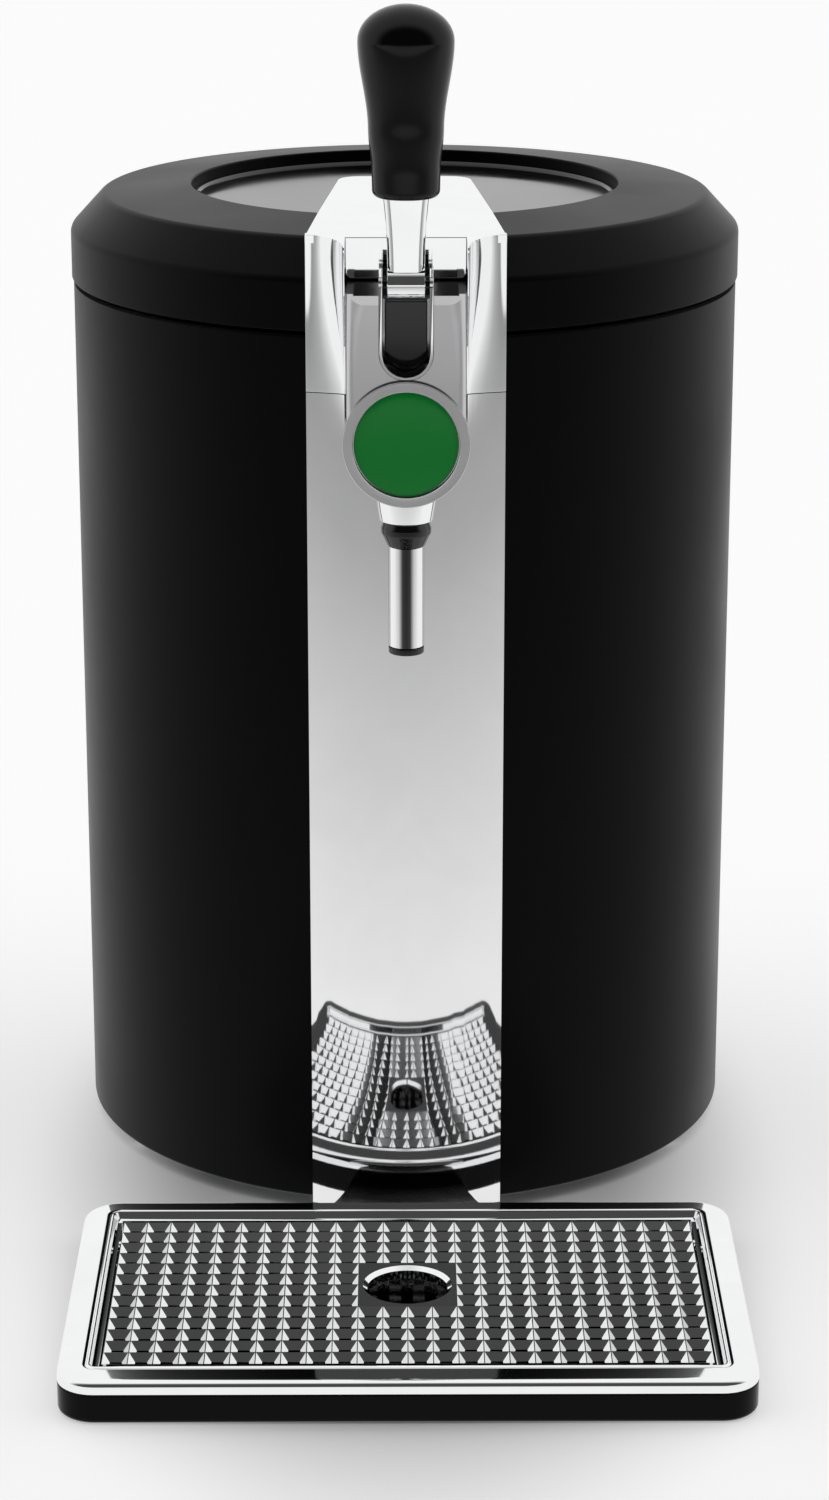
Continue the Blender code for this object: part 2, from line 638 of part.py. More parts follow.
def make_drum(drum, paint):
    satin, gloss, grey = paint["black_satin"], paint["black_gloss"], paint["grey_plastic"]

    # Outer shell: a straight tube with a rounded bottom edge and an inner flange for the base plate
    flange_bottom = SHELL_BOTTOM + FLANGE_LIFT
    flange_top = flange_bottom + FLANGE_THICKNESS
    shell = piece("outer_shell", turned(rounded([
        (SHELL_RADIUS, SHELL_TOP),
        (SHELL_INNER, SHELL_TOP),
        (SHELL_INNER, flange_top),
        (FLANGE_INNER_RADIUS, flange_top),
        (FLANGE_INNER_RADIUS, flange_bottom),
        (SHELL_INNER, flange_bottom),
        (SHELL_INNER, SHELL_BOTTOM),
        (SHELL_RADIUS, SHELL_BOTTOM, SHELL_EDGE),
    ], steps=2)), satin, drum)
    window = REAR_HALF_WIDTH + GAP
    shaped(shell, box((-window, window), (HINGE_Y - 0.02, LID_RADIUS), (REAR_BOTTOM - GAP, REAR_TOP + GAP)))

    # Base plate with intake slots under the fan
    base = piece("base_plate", turned([
        (0, BASE_TOP),
        (SHELL_INNER - GAP, BASE_TOP),
        (SHELL_INNER - GAP, BASE_BOTTOM),
        (0, BASE_BOTTOM),
    ], open_profile=True), grey, drum)
    for index in range(BASE_SLOT_COUNT):
        x = (index - (BASE_SLOT_COUNT - 1) / 2) * BASE_SLOT_PITCH
        half = BASE_SLOT_LENGTH / 2
        edges = (x - BASE_SLOT_WIDTH / 2, x + BASE_SLOT_WIDTH / 2)
        shaped(base, box(edges, (-half, half), (0, BASE_TOP + SHELL_BOTTOM)))

    # Rubber feet and the screws that hold the plate up against the shell's flange
    corners = (("front_left", -1, -1), ("front_right", 1, -1), ("rear_left", -1, 1), ("rear_right", 1, 1))
    for label, side, end in corners:
        x = side * FOOT_CIRCLE * sin(FOOT_ANGLE)
        y = end * FOOT_CIRCLE * cos(FOOT_ANGLE)
        foot = rod((x, y, 0), FOOT_RADIUS, "Z", 0, BASE_BOTTOM - GAP, segments=16)
        piece("foot_" + label, foot, paint["rubber"], drum)
        x = side * SCREW_CIRCLE * cos(SCREW_ANGLE)
        y = end * SCREW_CIRCLE * sin(SCREW_ANGLE)
        top = flange_top - GAP
        screw = turned([
            (0, top),
            (SCREW_RADIUS, top),
            (SCREW_RADIUS, BASE_BOTTOM - GAP),
            (SCREW_HEAD_RADIUS, BASE_BOTTOM - GAP),
            (SCREW_HEAD_RADIUS, BASE_BOTTOM - GAP - SCREW_HEAD_HEIGHT),
            (0, BASE_BOTTOM - GAP - SCREW_HEAD_HEIGHT),
        ], segments=8, open_profile=True)
        bmesh.ops.translate(screw, verts=screw.verts, vec=(x, y, 0))
        piece("base_screw_" + label, screw, paint["aluminium"], drum)
        for target in (base, shell):
            shaped(target, rod((x, y, 0), SCREW_RADIUS + GAP, "Z", BASE_BOTTOM - GAP, flange_top + GAP, segments=8))

    # Chassis ring: stands on the base plate and carries the insulation
    chassis = piece("chassis_ring", turned([
        (CHASSIS_OUTER, FOAM_BOTTOM - GAP),
        (CHASSIS_INNER - CHASSIS_LEDGE, FOAM_BOTTOM - GAP),
        (CHASSIS_INNER - CHASSIS_LEDGE, FOAM_BOTTOM - GAP - CHASSIS_WALL),
        (CHASSIS_INNER, FOAM_BOTTOM - GAP - CHASSIS_WALL),
        (CHASSIS_INNER, BAY_FLOOR),
        (CHASSIS_OUTER, BAY_FLOOR),
    ]), grey, drum)
    shaped(chassis, box(
        (-REAR_HALF_WIDTH - GAP, REAR_HALF_WIDTH + GAP),
        (CHASSIS_INNER - 2 * CHASSIS_LEDGE, SHELL_RADIUS),
        (REAR_BOTTOM - GAP, REAR_TOP + GAP),
    ))

    # Top collar, with a step for the flange of the keg well
    collar_inner = WELL_OUTER + GAP
    step_radius = WELL_OUTER + WELL_FLANGE - WELL_WALL + GAP
    piece("top_collar", turned([
        (SHELL_INNER - GAP, COLLAR_TOP),
        (step_radius, COLLAR_TOP),
        (step_radius, COLLAR_TOP - COLLAR_RIM_HEIGHT),
        (collar_inner, COLLAR_TOP - COLLAR_RIM_HEIGHT),
        (collar_inner, COLLAR_BOTTOM_Z),
        (SHELL_INNER - GAP, COLLAR_BOTTOM_Z),
    ]), gloss, drum)

    # Keg well: a drawn tub with a flange
    piece("keg_well", turned([
        (0, WELL_FLOOR),
        (WELL_RADIUS, WELL_FLOOR),
        (WELL_RADIUS, WELL_TOP),
        (WELL_OUTER + WELL_FLANGE - WELL_WALL, WELL_TOP),
        (WELL_OUTER + WELL_FLANGE - WELL_WALL, WELL_FLANGE_Z),
        (WELL_OUTER, WELL_FLANGE_Z),
        (WELL_OUTER, WELL_UNDER),
        (0, WELL_UNDER),
    ], open_profile=True), paint["aluminium"], drum)

    # Insulation round the well, open below it for the cold block
    piece("foam_jacket", turned([
        (FOAM_RADIUS, FOAM_TOP),
        (collar_inner, FOAM_TOP),
        (collar_inner, FOAM_SEAT),
        (FOAM_FLOOR_HOLE, FOAM_SEAT),
        (FOAM_FLOOR_HOLE, FOAM_BOTTOM),
        (FOAM_RADIUS, FOAM_BOTTOM),
    ]), paint["foam"], drum)


def make_cooling(drum, fan_axle, paint):
    aluminium, gloss = paint["aluminium"], paint["black_gloss"]

    # Cold block under the well, with a bore for the temperature probe
    half = COLD_BLOCK_SIDE / 2
    block = piece(
        "cold_block", box((-half, half), (-half, half), (COLD_BLOCK_BOTTOM, COLD_BLOCK_TOP)), aluminium, drum
    )
    probe_z = (COLD_BLOCK_BOTTOM + COLD_BLOCK_TOP) / 2
    probe_start = half - PROBE_DEPTH
    shaped(block, rod((0, 0, probe_z), PROBE_RADIUS + GAP, "X", probe_start - GAP, half + GAP, segments=12))
    probe_end = probe_start + PROBE_LENGTH - PROBE_DEPTH
    probe = rod((0, 0, probe_z), PROBE_RADIUS, "X", probe_start, probe_end, segments=12)
    piece("temperature_probe", probe, paint["polished_steel"], drum)

    half = PELTIER_SIDE / 2
    peltier = box((-half, half), (-half, half), (PELTIER_BOTTOM, PELTIER_TOP))
    piece("peltier_module", peltier, paint["ceramic"], drum)

    # Heat sink: a comb profile pushed along Y
    half = SINK_SIDE / 2
    pitch = (SINK_SIDE - FIN_THICKNESS) / (FIN_COUNT - 1)
    comb = [(-half, SINK_TOP)]
    for index in range(FIN_COUNT):
        x = -half + index * pitch
        if index:
            comb.append((x, SINK_TOP - SINK_BASE))
        comb += [(x, SINK_BOTTOM), (x + FIN_THICKNESS, SINK_BOTTOM)]
        if index < FIN_COUNT - 1:
            comb.append((x + FIN_THICKNESS, SINK_TOP - SINK_BASE))
    comb.append((half, SINK_TOP))
    piece("heat_sink", prism(comb, "Y", -half, half), aluminium, drum)

    # Fan frame: a square with a round bore, struts to the motor and a foot in each corner
    half = FAN_SIDE / 2
    foot = half - FAN_BORE_RADIUS + FAN_STRUT_WIDTH
    frame = piece("fan_frame", box((-half, half), (-half, half), (FAN_BOTTOM, FAN_TOP)), gloss, drum)
    shaped(frame, rod((0, 0, 0), FAN_BORE_RADIUS, "Z", FAN_BOTTOM - GAP, FAN_TOP + GAP, segments=24))
    strut_top = FAN_BOTTOM + FAN_STRUT_HEIGHT
    reach = FAN_BORE_RADIUS + FAN_STRUT_WIDTH / 4
    side = FAN_STRUT_WIDTH / 2
    joined(frame, box((-reach, reach), (-side, side), (FAN_BOTTOM, strut_top)))
    joined(frame, box((-side, side), (-reach, reach), (FAN_BOTTOM, strut_top)))
    joined(frame, rod((0, 0, 0), FAN_HUB_RADIUS, "Z", FAN_BOTTOM, strut_top, segments=20))
    shaft_top = strut_top + FAN_SHAFT_LENGTH
    joined(frame, rod((0, 0, 0), FAN_SHAFT_RADIUS, "Z", FAN_BOTTOM, shaft_top, segments=10))
    for x in (-half, half - foot):
        for y in (-half, half - foot):
            joined(frame, box((x, x + foot), (y, y + foot), (BAY_FLOOR, FAN_BOTTOM + FAN_STANDOFF)))

    # Rotor: a hub with pitched blades, bored for the shaft
    rotor_bottom = strut_top + GAP
    rotor = piece(
        "fan_rotor",
        rod((0, 0, 0), FAN_HUB_RADIUS, "Z", rotor_bottom, rotor_bottom + ROTOR_HEIGHT, segments=20),
        gloss,
        fan_axle,
    )
    blade_z = rotor_bottom + ROTOR_HEIGHT / 2
    for index in range(BLADE_COUNT):
        blade = box(
            (FAN_HUB_RADIUS - FAN_STRUT_WIDTH, BLADE_RADIUS),
            (-BLADE_CHORD / 2, BLADE_CHORD / 2),
            (-BLADE_THICKNESS / 2, BLADE_THICKNESS / 2),
        )
        turn = Matrix.Rotation(2 * pi * index / BLADE_COUNT, 4, "Z")
        tilt = Matrix.Rotation(BLADE_PITCH, 4, "X")
        bmesh.ops.transform(blade, verts=blade.verts, matrix=Matrix.Translation((0, 0, blade_z)) @ turn @ tilt)
        joined(rotor, blade)
    bore_top = shaft_top + GAP
    shaped(rotor, rod((0, 0, 0), FAN_SHAFT_RADIUS + GAP, "Z", FAN_BOTTOM, bore_top, segments=10))

    # Control board on posts
    low = BAY_FLOOR + BOARD_STANDOFF
    top = low + BOARD_THICKNESS
    x_range = (SINK_SIDE / 2 + BOARD_GAP, CHASSIS_INNER - BOARD_MARGIN)
    board_x = sum(x_range) / 2
    y_range = (BOARD_Y - BOARD_LENGTH / 2, BOARD_Y + BOARD_LENGTH / 2)
    board = piece("control_board", box(x_range, y_range, (low, top)), paint["circuit"], drum)
    inset = 2 * BOARD_POST_RADIUS
    for x in (x_range[0] + inset, x_range[1] - inset):
        for y in (y_range[0] + inset, y_range[1] - inset):
            joined(board, rod((x, y, 0), BOARD_POST_RADIUS, "Z", BAY_FLOOR, top - BOARD_THICKNESS / 2, segments=8))
    chip_y = BOARD_Y - CHIP_SIDE
    joined(board, box(
        (board_x - CHIP_SIDE / 2, board_x + CHIP_SIDE / 2),
        (chip_y - CHIP_SIDE / 2, chip_y + CHIP_SIDE / 2),
        (top - BOARD_THICKNESS / 2, top + CHIP_HEIGHT),
    ))
    coil_y = BOARD_Y + CHIP_SIDE
    joined(board, rod(
        (board_x, coil_y, 0), COIL_RADIUS, "Z", top - BOARD_THICKNESS / 2, top + COIL_HEIGHT, segments=12
    ))

    # Closed power supply
    near, far = SINK_SIDE / 2 + SUPPLY_GAP, CHASSIS_INNER - SUPPLY_MARGIN
    supply = rounded([
        (-far, BAY_FLOOR),
        (-near, BAY_FLOOR),
        (-near, BAY_FLOOR + SUPPLY_HEIGHT, SUPPLY_HEIGHT / 10),
        (-far, BAY_FLOOR + SUPPLY_HEIGHT, SUPPLY_HEIGHT / 10),
    ])
    case = prism(supply, "Y", SUPPLY_Y - SUPPLY_LENGTH / 2, SUPPLY_Y + SUPPLY_LENGTH / 2)
    piece("power_supply", case, paint["grey_plastic"], drum)


def make_rear(drum, rocker_axle, paint):
    satin, gloss = paint["black_satin"], paint["black_gloss"]
    inner_half = REAR_HALF_WIDTH - REAR_RIM
    back = REAR_FACE - REAR_THICKNESS

    # Panel: a flat floor with a rim that runs out to the round of the shell
    panel = piece("rear_panel", box(
        (-REAR_HALF_WIDTH, REAR_HALF_WIDTH), (back, LID_RADIUS), (REAR_BOTTOM, REAR_TOP)
    ), satin, drum)
    shaped(panel, rod((0, 0, 0), SHELL_RADIUS - GAP, "Z", 0, SHELL_TOP, segments=DRUM_SEGMENTS), "INTERSECT")
    shaped(panel, box(
        (-inner_half, inner_half), (REAR_FACE, SHELL_RADIUS + GAP), (REAR_BOTTOM + REAR_RIM, REAR_TOP - REAR_RIM)
    ))
    for index in range(REAR_SLOT_COUNT):
        z = REAR_MIDDLE + (index - (REAR_SLOT_COUNT - 1) / 2) * REAR_SLOT_PITCH
        shaped(panel, box(
            (REAR_SLOT_X - REAR_SLOT_WIDTH / 2, REAR_SLOT_X + REAR_SLOT_WIDTH / 2),
            (back - GAP, REAR_FACE + GAP),
            (z - REAR_SLOT_HEIGHT / 2, z + REAR_SLOT_HEIGHT / 2),
        ))

    # Mains inlet: a flanged socket with two pins
    half_x, half_z = INLET_WIDTH / 2, INLET_HEIGHT / 2
    front = REAR_FACE + GAP + INLET_FLANGE
    body_x, body_z = half_x - INLET_RIM, half_z - INLET_RIM
    shaped(panel, box(
        (INLET_X - body_x - GAP, INLET_X + body_x + GAP),
        (back - GAP, REAR_FACE + GAP),
        (REAR_MIDDLE - body_z - GAP, REAR_MIDDLE + body_z + GAP),
    ))
    inlet = piece("power_inlet", box(
        (INLET_X - half_x, INLET_X + half_x),
        (REAR_FACE + GAP, front),
        (REAR_MIDDLE - half_z, REAR_MIDDLE + half_z),
    ), gloss, drum)
    joined(inlet, box(
        (INLET_X - body_x, INLET_X + body_x),
        (front - INLET_DEPTH, front - INLET_FLANGE / 2),
        (REAR_MIDDLE - body_z, REAR_MIDDLE + body_z),
    ))
    socket_x, socket_z = body_x - INLET_WALL, body_z - INLET_WALL
    shaped(inlet, box(
        (INLET_X - socket_x, INLET_X + socket_x),
        (front - SOCKET_DEPTH, front + GAP),
        (REAR_MIDDLE - socket_z, REAR_MIDDLE + socket_z),
    ))
    for side in (-1, 1):
        pin_x = INLET_X + side * PIN_SPACING / 2
        joined(inlet, box(
            (pin_x - PIN_WIDTH / 2, pin_x + PIN_WIDTH / 2),
            (front - SOCKET_DEPTH - INLET_WALL / 2, front - SOCKET_DEPTH + PIN_LENGTH),
            (REAR_MIDDLE - PIN_DROP - PIN_WIDTH / 2, REAR_MIDDLE - PIN_DROP + PIN_WIDTH / 2),
        ))

    # Switch bezel with its well, and the rocker tilted to off
    half_x, half_z = SWITCH_WIDTH / 2, SWITCH_HEIGHT / 2
    front = REAR_FACE + GAP + SWITCH_FLANGE
    body_x, body_z = half_x - SWITCH_RIM, half_z - SWITCH_RIM
    shaped(panel, box(
        (SWITCH_X - body_x - GAP, SWITCH_X + body_x + GAP),
        (back - GAP, REAR_FACE + GAP),
        (REAR_MIDDLE - body_z - GAP, REAR_MIDDLE + body_z + GAP),
    ))
    bezel = piece("switch_bezel", box(
        (SWITCH_X - half_x, SWITCH_X + half_x),
        (REAR_FACE + GAP, front),
        (REAR_MIDDLE - half_z, REAR_MIDDLE + half_z),
    ), gloss, drum)
    joined(bezel, box(
        (SWITCH_X - body_x, SWITCH_X + body_x),
        (front - SWITCH_DEPTH, front - SWITCH_FLANGE / 2),
        (REAR_MIDDLE - body_z, REAR_MIDDLE + body_z),
    ))
    well_x, well_z = body_x - SWITCH_WALL, body_z - SWITCH_WALL
    shaped(bezel, box(
        (SWITCH_X - well_x, SWITCH_X + well_x),
        (front - SWITCH_DEPTH + SWITCH_WALL, front + GAP),
        (REAR_MIDDLE - well_z, REAR_MIDDLE + well_z),
    ))
    axle_y = front - ROCKER_AXLE_DEPTH
    axle = rod(
        (0, axle_y, REAR_MIDDLE), ROCKER_AXLE_RADIUS, "X", SWITCH_X - body_x, SWITCH_X + body_x, segments=10
    )
    joined(bezel, axle)
    half = well_z - SLIDE_GAP
    rocker = rounded([
        (axle_y - ROCKER_THICKNESS / 2, REAR_MIDDLE - half),
        (axle_y + ROCKER_THICKNESS, REAR_MIDDLE - half, ROCKER_THICKNESS / 6),
        (axle_y + ROCKER_THICKNESS * 2 / 3, REAR_MIDDLE),
        (axle_y + ROCKER_THICKNESS, REAR_MIDDLE + half, ROCKER_THICKNESS / 6),
        (axle_y - ROCKER_THICKNESS / 2, REAR_MIDDLE + half),
    ], steps=2)
    button = prism(rocker, "X", SWITCH_X - well_x + GAP, SWITCH_X + well_x - GAP)
    bore = rod(
        (0, axle_y, REAR_MIDDLE),
        ROCKER_AXLE_RADIUS + GAP,
        "X",
        SWITCH_X - SWITCH_WIDTH,
        SWITCH_X + SWITCH_WIDTH,
        segments=10,
    )
    tilt = Matrix.Translation((0, axle_y, REAR_MIDDLE)) @ Matrix.Rotation(ROCKER_TILT, 4, "X")
    tilt = tilt @ Matrix.Translation((0, -axle_y, -REAR_MIDDLE))
    bmesh.ops.transform(button, verts=button.verts, matrix=tilt)
    shaped(piece("power_rocker", button, gloss, rocker_axle), bore)


def make_hinge(drum, lid, liner, paint):
    # Fixed knuckle on a pad that is screwed to the collar
    pad_low = COLLAR_TOP + GAP
    pad_top = pad_low + HINGE_PAD_THICKNESS
    base = piece("hinge_base", box(
        (-HINGE_PAD_HALF, HINGE_PAD_HALF),
        (HINGE_Y - 2 * KNUCKLE_RADIUS, HINGE_Y + KNUCKLE_RADIUS),
        (pad_low, pad_top),
    ), paint["black_satin"], drum)
    web = [
        (HINGE_Y - KNUCKLE_RADIUS, pad_low),
        (HINGE_Y + KNUCKLE_RADIUS, pad_low),
    ] + arc(KNUCKLE_RADIUS, 0, pi, 8, (HINGE_Y, HINGE_Z))
    joined(base, prism(web, "X", -FIXED_KNUCKLE_HALF, FIXED_KNUCKLE_HALF))

    # Lid knuckles: an arm and a barrel on each side of the fixed one, part of the liner
    start = FIXED_KNUCKLE_HALF + GAP
    end = start + LID_KNUCKLE_WIDTH
    for near, far in ((start, end), (-end, -start)):
        arm = arc(KNUCKLE_RADIUS, -pi / 2, pi / 2, 8, (HINGE_Y, HINGE_Z)) + [
            Vector((HINGE_ROOM_Y, HINGE_Z + KNUCKLE_RADIUS)),
            Vector((HINGE_ROOM_Y, HINGE_Z - KNUCKLE_RADIUS)),
        ]
        joined(liner, prism(arm, "X", near, far))
    length = end + GAP
    bore = rod((0, HINGE_Y, HINGE_Z), HINGE_PIN_RADIUS + GAP, "X", -length, length, segments=12)
    shaped(liner, bore)
    bore = rod((0, HINGE_Y, HINGE_Z), HINGE_PIN_RADIUS + GAP, "X", -length, length, segments=12)
    shaped(base, bore)
    pin = rod((0, HINGE_Y, HINGE_Z), HINGE_PIN_RADIUS, "X", -end, end, segments=12)
    piece("hinge_pin", pin, paint["polished_steel"], drum)


def make_lid(lid, paint):
    satin = paint["black_satin"]

    def notch():
        return box(
            (-NOTCH_HALF_WIDTH, NOTCH_HALF_WIDTH), (LID_RADIUS - NOTCH_DEPTH, LID_RADIUS + GAP),
            (SHELL_TOP, NOTCH_TOP),
        )

    # Lid ring: skirt, chamfer and gently sloping top, with a notch over the hinge and a bed for the tongue
    ring = piece("lid_ring", turned(rounded([
        (LID_RADIUS, LID_BOTTOM),
        (LID_RADIUS, LID_SIDE_TOP, LID_CREASE),
        (LID_CHAMFER_RADIUS, LID_CHAMFER_TOP, LID_CREASE),
        (RECESS_RADIUS, LID_TOP, LID_CREASE / 3),
        (RECESS_RADIUS, DISH_TOP - DISH_THICKNESS),
        (RECESS_RADIUS + LID_SKIN, DISH_TOP - DISH_THICKNESS),
        (RECESS_RADIUS + LID_SKIN, LID_TOP - 1.2 * LID_SKIN),
        (LID_CHAMFER_RADIUS - LID_SKIN / 2, LID_CHAMFER_TOP - 1.1 * LID_SKIN),
        (LID_RADIUS - LID_SKIN, LID_SIDE_TOP - LID_SKIN / 2),
        (LID_RADIUS - LID_SKIN, LID_BOTTOM),
    ], steps=2)), satin, lid)
    shaped(ring, notch())

    # Recessed dish in the middle of the lid
    edge = RECESS_RADIUS - GAP
    piece("lid_dish", turned([
        (0, DISH_TOP),
        (DISH_RADIUS, DISH_TOP),
        (RECESS_LEDGE_RADIUS, RECESS_LEDGE),
        (edge, RECESS_LEDGE),
        (edge, DISH_TOP - DISH_THICKNESS),
        (0, DISH_TOP - DISH_THICKNESS),
    ], open_profile=True), paint["black_gloss"], lid)

    # Liner with the plug that reaches into the keg well, the insulation on it and the gasket under it
    liner = piece("lid_liner", turned([
        (0, LINER_TOP),
        (LID_RADIUS - LID_SKIN - GAP, LINER_TOP),
        (LID_RADIUS - LID_SKIN - GAP, LINER_BOTTOM),
        (PLUG_RADIUS, LINER_BOTTOM),
        (PLUG_RADIUS, LINER_BOTTOM - PLUG_DEPTH),
        (0, LINER_BOTTOM - PLUG_DEPTH),
    ], open_profile=True), paint["grey_plastic"], lid)
    shaped(liner, notch())
    room = 2 * GAP
    foam = piece("lid_foam", turned([
        (0, DISH_TOP - DISH_THICKNESS - GAP),
        (RECESS_RADIUS + LID_SKIN + room, DISH_TOP - DISH_THICKNESS - GAP),
        (RECESS_RADIUS + LID_SKIN + room, LID_TOP - 1.2 * LID_SKIN - room),
        (LID_CHAMFER_RADIUS - LID_SKIN / 2 - room, LID_CHAMFER_TOP - 1.1 * LID_SKIN - room),
        (LID_RADIUS - LID_SKIN - room, LID_SIDE_TOP - LID_SKIN / 2 - room),
        (LID_RADIUS - LID_SKIN - room, LINER_TOP + GAP),
        (0, LINER_TOP + GAP),
    ], open_profile=True), paint["foam"], lid)
    shaped(foam, box(
        (-NOTCH_HALF_WIDTH - GAP, NOTCH_HALF_WIDTH + GAP),
        (HINGE_ROOM_Y - GAP, LID_RADIUS),
        (LINER_BOTTOM, NOTCH_TOP + GAP),
    ))
    low, high = WELL_TOP + GAP, LINER_BOTTOM - GAP
    inside, outside = GASKET_RADIUS - GASKET_WIDTH / 2, GASKET_RADIUS + GASKET_WIDTH / 2
    taper = (high - low) / 4
    piece("lid_gasket", turned([
        (outside, high),
        (inside, high),
        (inside + taper, low),
        (outside - taper, low),
    ]), paint["rubber"], lid)
    return ring, liner


def make_cap(ring, lid, paint):
    # Tongue: tapers from the column's width to its rounded end over the recess
    rim_y = on_circle(RECESS_RADIUS, TONGUE_RIM_HALF)
    edge_y = on_circle(PANEL_RADIUS, PANEL_HALF_WIDTH)

    def tongue_outline(grow):
        half = [
            (PANEL_HALF_WIDTH + grow, edge_y - grow),
            (TONGUE_RIM_HALF + grow, rim_y),
            (TONGUE_END_HALF + grow, TONGUE_OVERRUN + grow, TONGUE_CORNER),
        ]
        other = [(-corner[0], *corner[1:]) for corner in reversed(half)]
        return rounded(half + other, steps=5)

    under = CAP_TOP - CAP_THICKNESS
    bed = prism(tongue_outline(GAP), "Z", under - GAP, CAP_TOP + GAP)
    shaped(ring, bed)

    # Over the skirt the bed runs on to the front
    front = LID_RADIUS + LID_SKIN
    half = PANEL_HALF_WIDTH + GAP
    shaped(ring, box((-half, half), (-front, edge_y + GAP), (under - GAP, CAP_TOP)))
    outline = tongue_outline(0)
    cap = piece("lid_front_cap", prism(outline, "Z", under, CAP_TOP), paint["chrome"], lid)

    # Cheeks: the cove outside, a flat face along the tap inside, the lid's round behind
    back_radius = LID_RADIUS + GAP
    low = PANEL_TOP + SEAM
    levels = 6
    heights = [low + (COVE_FULL - low) * index / levels for index in range(levels + 1)]
    heights.append(CAP_TOP)
    sections = []
    for z in heights:
        outside = cove(z)
        reach = -outside[-1][1]
        back_x = [CHEEK_INNER + (PANEL_HALF_WIDTH - CHEEK_INNER) * step / 4 for step in range(5)]
        inside = [Vector((CHEEK_INNER, -reach))]
        rear = [Vector((x, on_circle(back_radius, x))) for x in back_x]
        sections.append(at_height(outside + inside + rear, z))
    joined(cap, lofted(sections))
    other = [[(-x, y, z) for x, y, z in section] for section in sections]
    joined(cap, lofted(other))

    # Fascia between the cheeks, with rounded lower corners, and the flat top in front of the tongue
    outer = HOUSING_BACK - GAP
    corner = CAP_THICKNESS / 2
    inset = CHEEK_INNER + CHEEK_EDGE
    fascia = rounded([
        (-inset, FASCIA_BOTTOM, corner),
        (inset, FASCIA_BOTTOM, corner),
        (inset, CAP_TOP),
        (-inset, CAP_TOP),
    ], steps=2)
    joined(cap, prism(fascia, "Y", -outer, FASCIA_THICKNESS - outer))
    deck = [(-PANEL_HALF_WIDTH, edge_y + CAP_THICKNESS), (-PANEL_HALF_WIDTH, edge_y), (-inset, -outer)]
    deck += [(-x, y) for x, y in reversed(deck)]
    joined(cap, prism(deck, "Z", under, CAP_TOP))


def make_column(drum, paint):
    # Column panel: a shallow channel bent round the drum; its top flares into the coves beside the tap
    inner_radius = PANEL_RADIUS - PANEL_WALL
    shell_side = SHELL_RADIUS + GAP
    seams = 4
    heights = [PANEL_BOTTOM, COVE_START]
    heights += [COVE_START + (PANEL_TOP - COVE_START) * (index + 1) / seams for index in range(seams)]
    front_steps = 10
    front_x = [CHEEK_INNER * (1 - 2 * step / front_steps) for step in range(front_steps + 1)]
    inner_half = PANEL_HALF_WIDTH - PANEL_WALL
    inner_steps = 14
    inner_x = [inner_half * (2 * step / inner_steps - 1) for step in range(inner_steps + 1)]
    sections = []
    for z in heights:
        side = cove(z)
        front = [Vector((x, on_circle(PANEL_RADIUS, x))) for x in front_x]
        corner = Vector((PANEL_HALF_WIDTH, on_circle(shell_side, PANEL_HALF_WIDTH)))
        outer = [corner] + side + front + mirrored(side) + mirrored([corner])
        lip = on_circle(shell_side, inner_half)
        inner = [Vector((-inner_half, lip))]
        inner += [Vector((x, on_circle(inner_radius, x))) for x in inner_x]
        inner.append(Vector((inner_half, lip)))
        sections.append(at_height(outer + inner, z))
    piece("column_panel", lofted(sections), paint["polished_steel"], drum)

    # Moulded core that fills the channel
    half = inner_half - GAP
    x_steps = [half * (2 * step / inner_steps - 1) for step in range(inner_steps + 1)]
    front = [(x, on_circle(inner_radius - GAP, x)) for x in x_steps]
    rear = [(x, on_circle(shell_side, x)) for x in reversed(x_steps)]
    core = prism(front + rear, "Z", PANEL_BOTTOM + GAP, PANEL_TOP - GAP)
    piece("column_core", core, paint["grey_plastic"], drum)

    # Bracket between the shell and the back of the tap housing
    half = HOUSING_HALF - HOUSING_WALL
    x_steps = [half * (2 * step / 6 - 1) for step in range(7)]
    rear = [(x, on_circle(shell_side, x)) for x in reversed(x_steps)]
    bracket = [(-half, GAP - HOUSING_BACK), (half, GAP - HOUSING_BACK)] + rear
    piece("tap_bracket", prism(bracket, "Z", PANEL_TOP + SEAM, BRACKET_TOP), paint["grey_plastic"], drum)


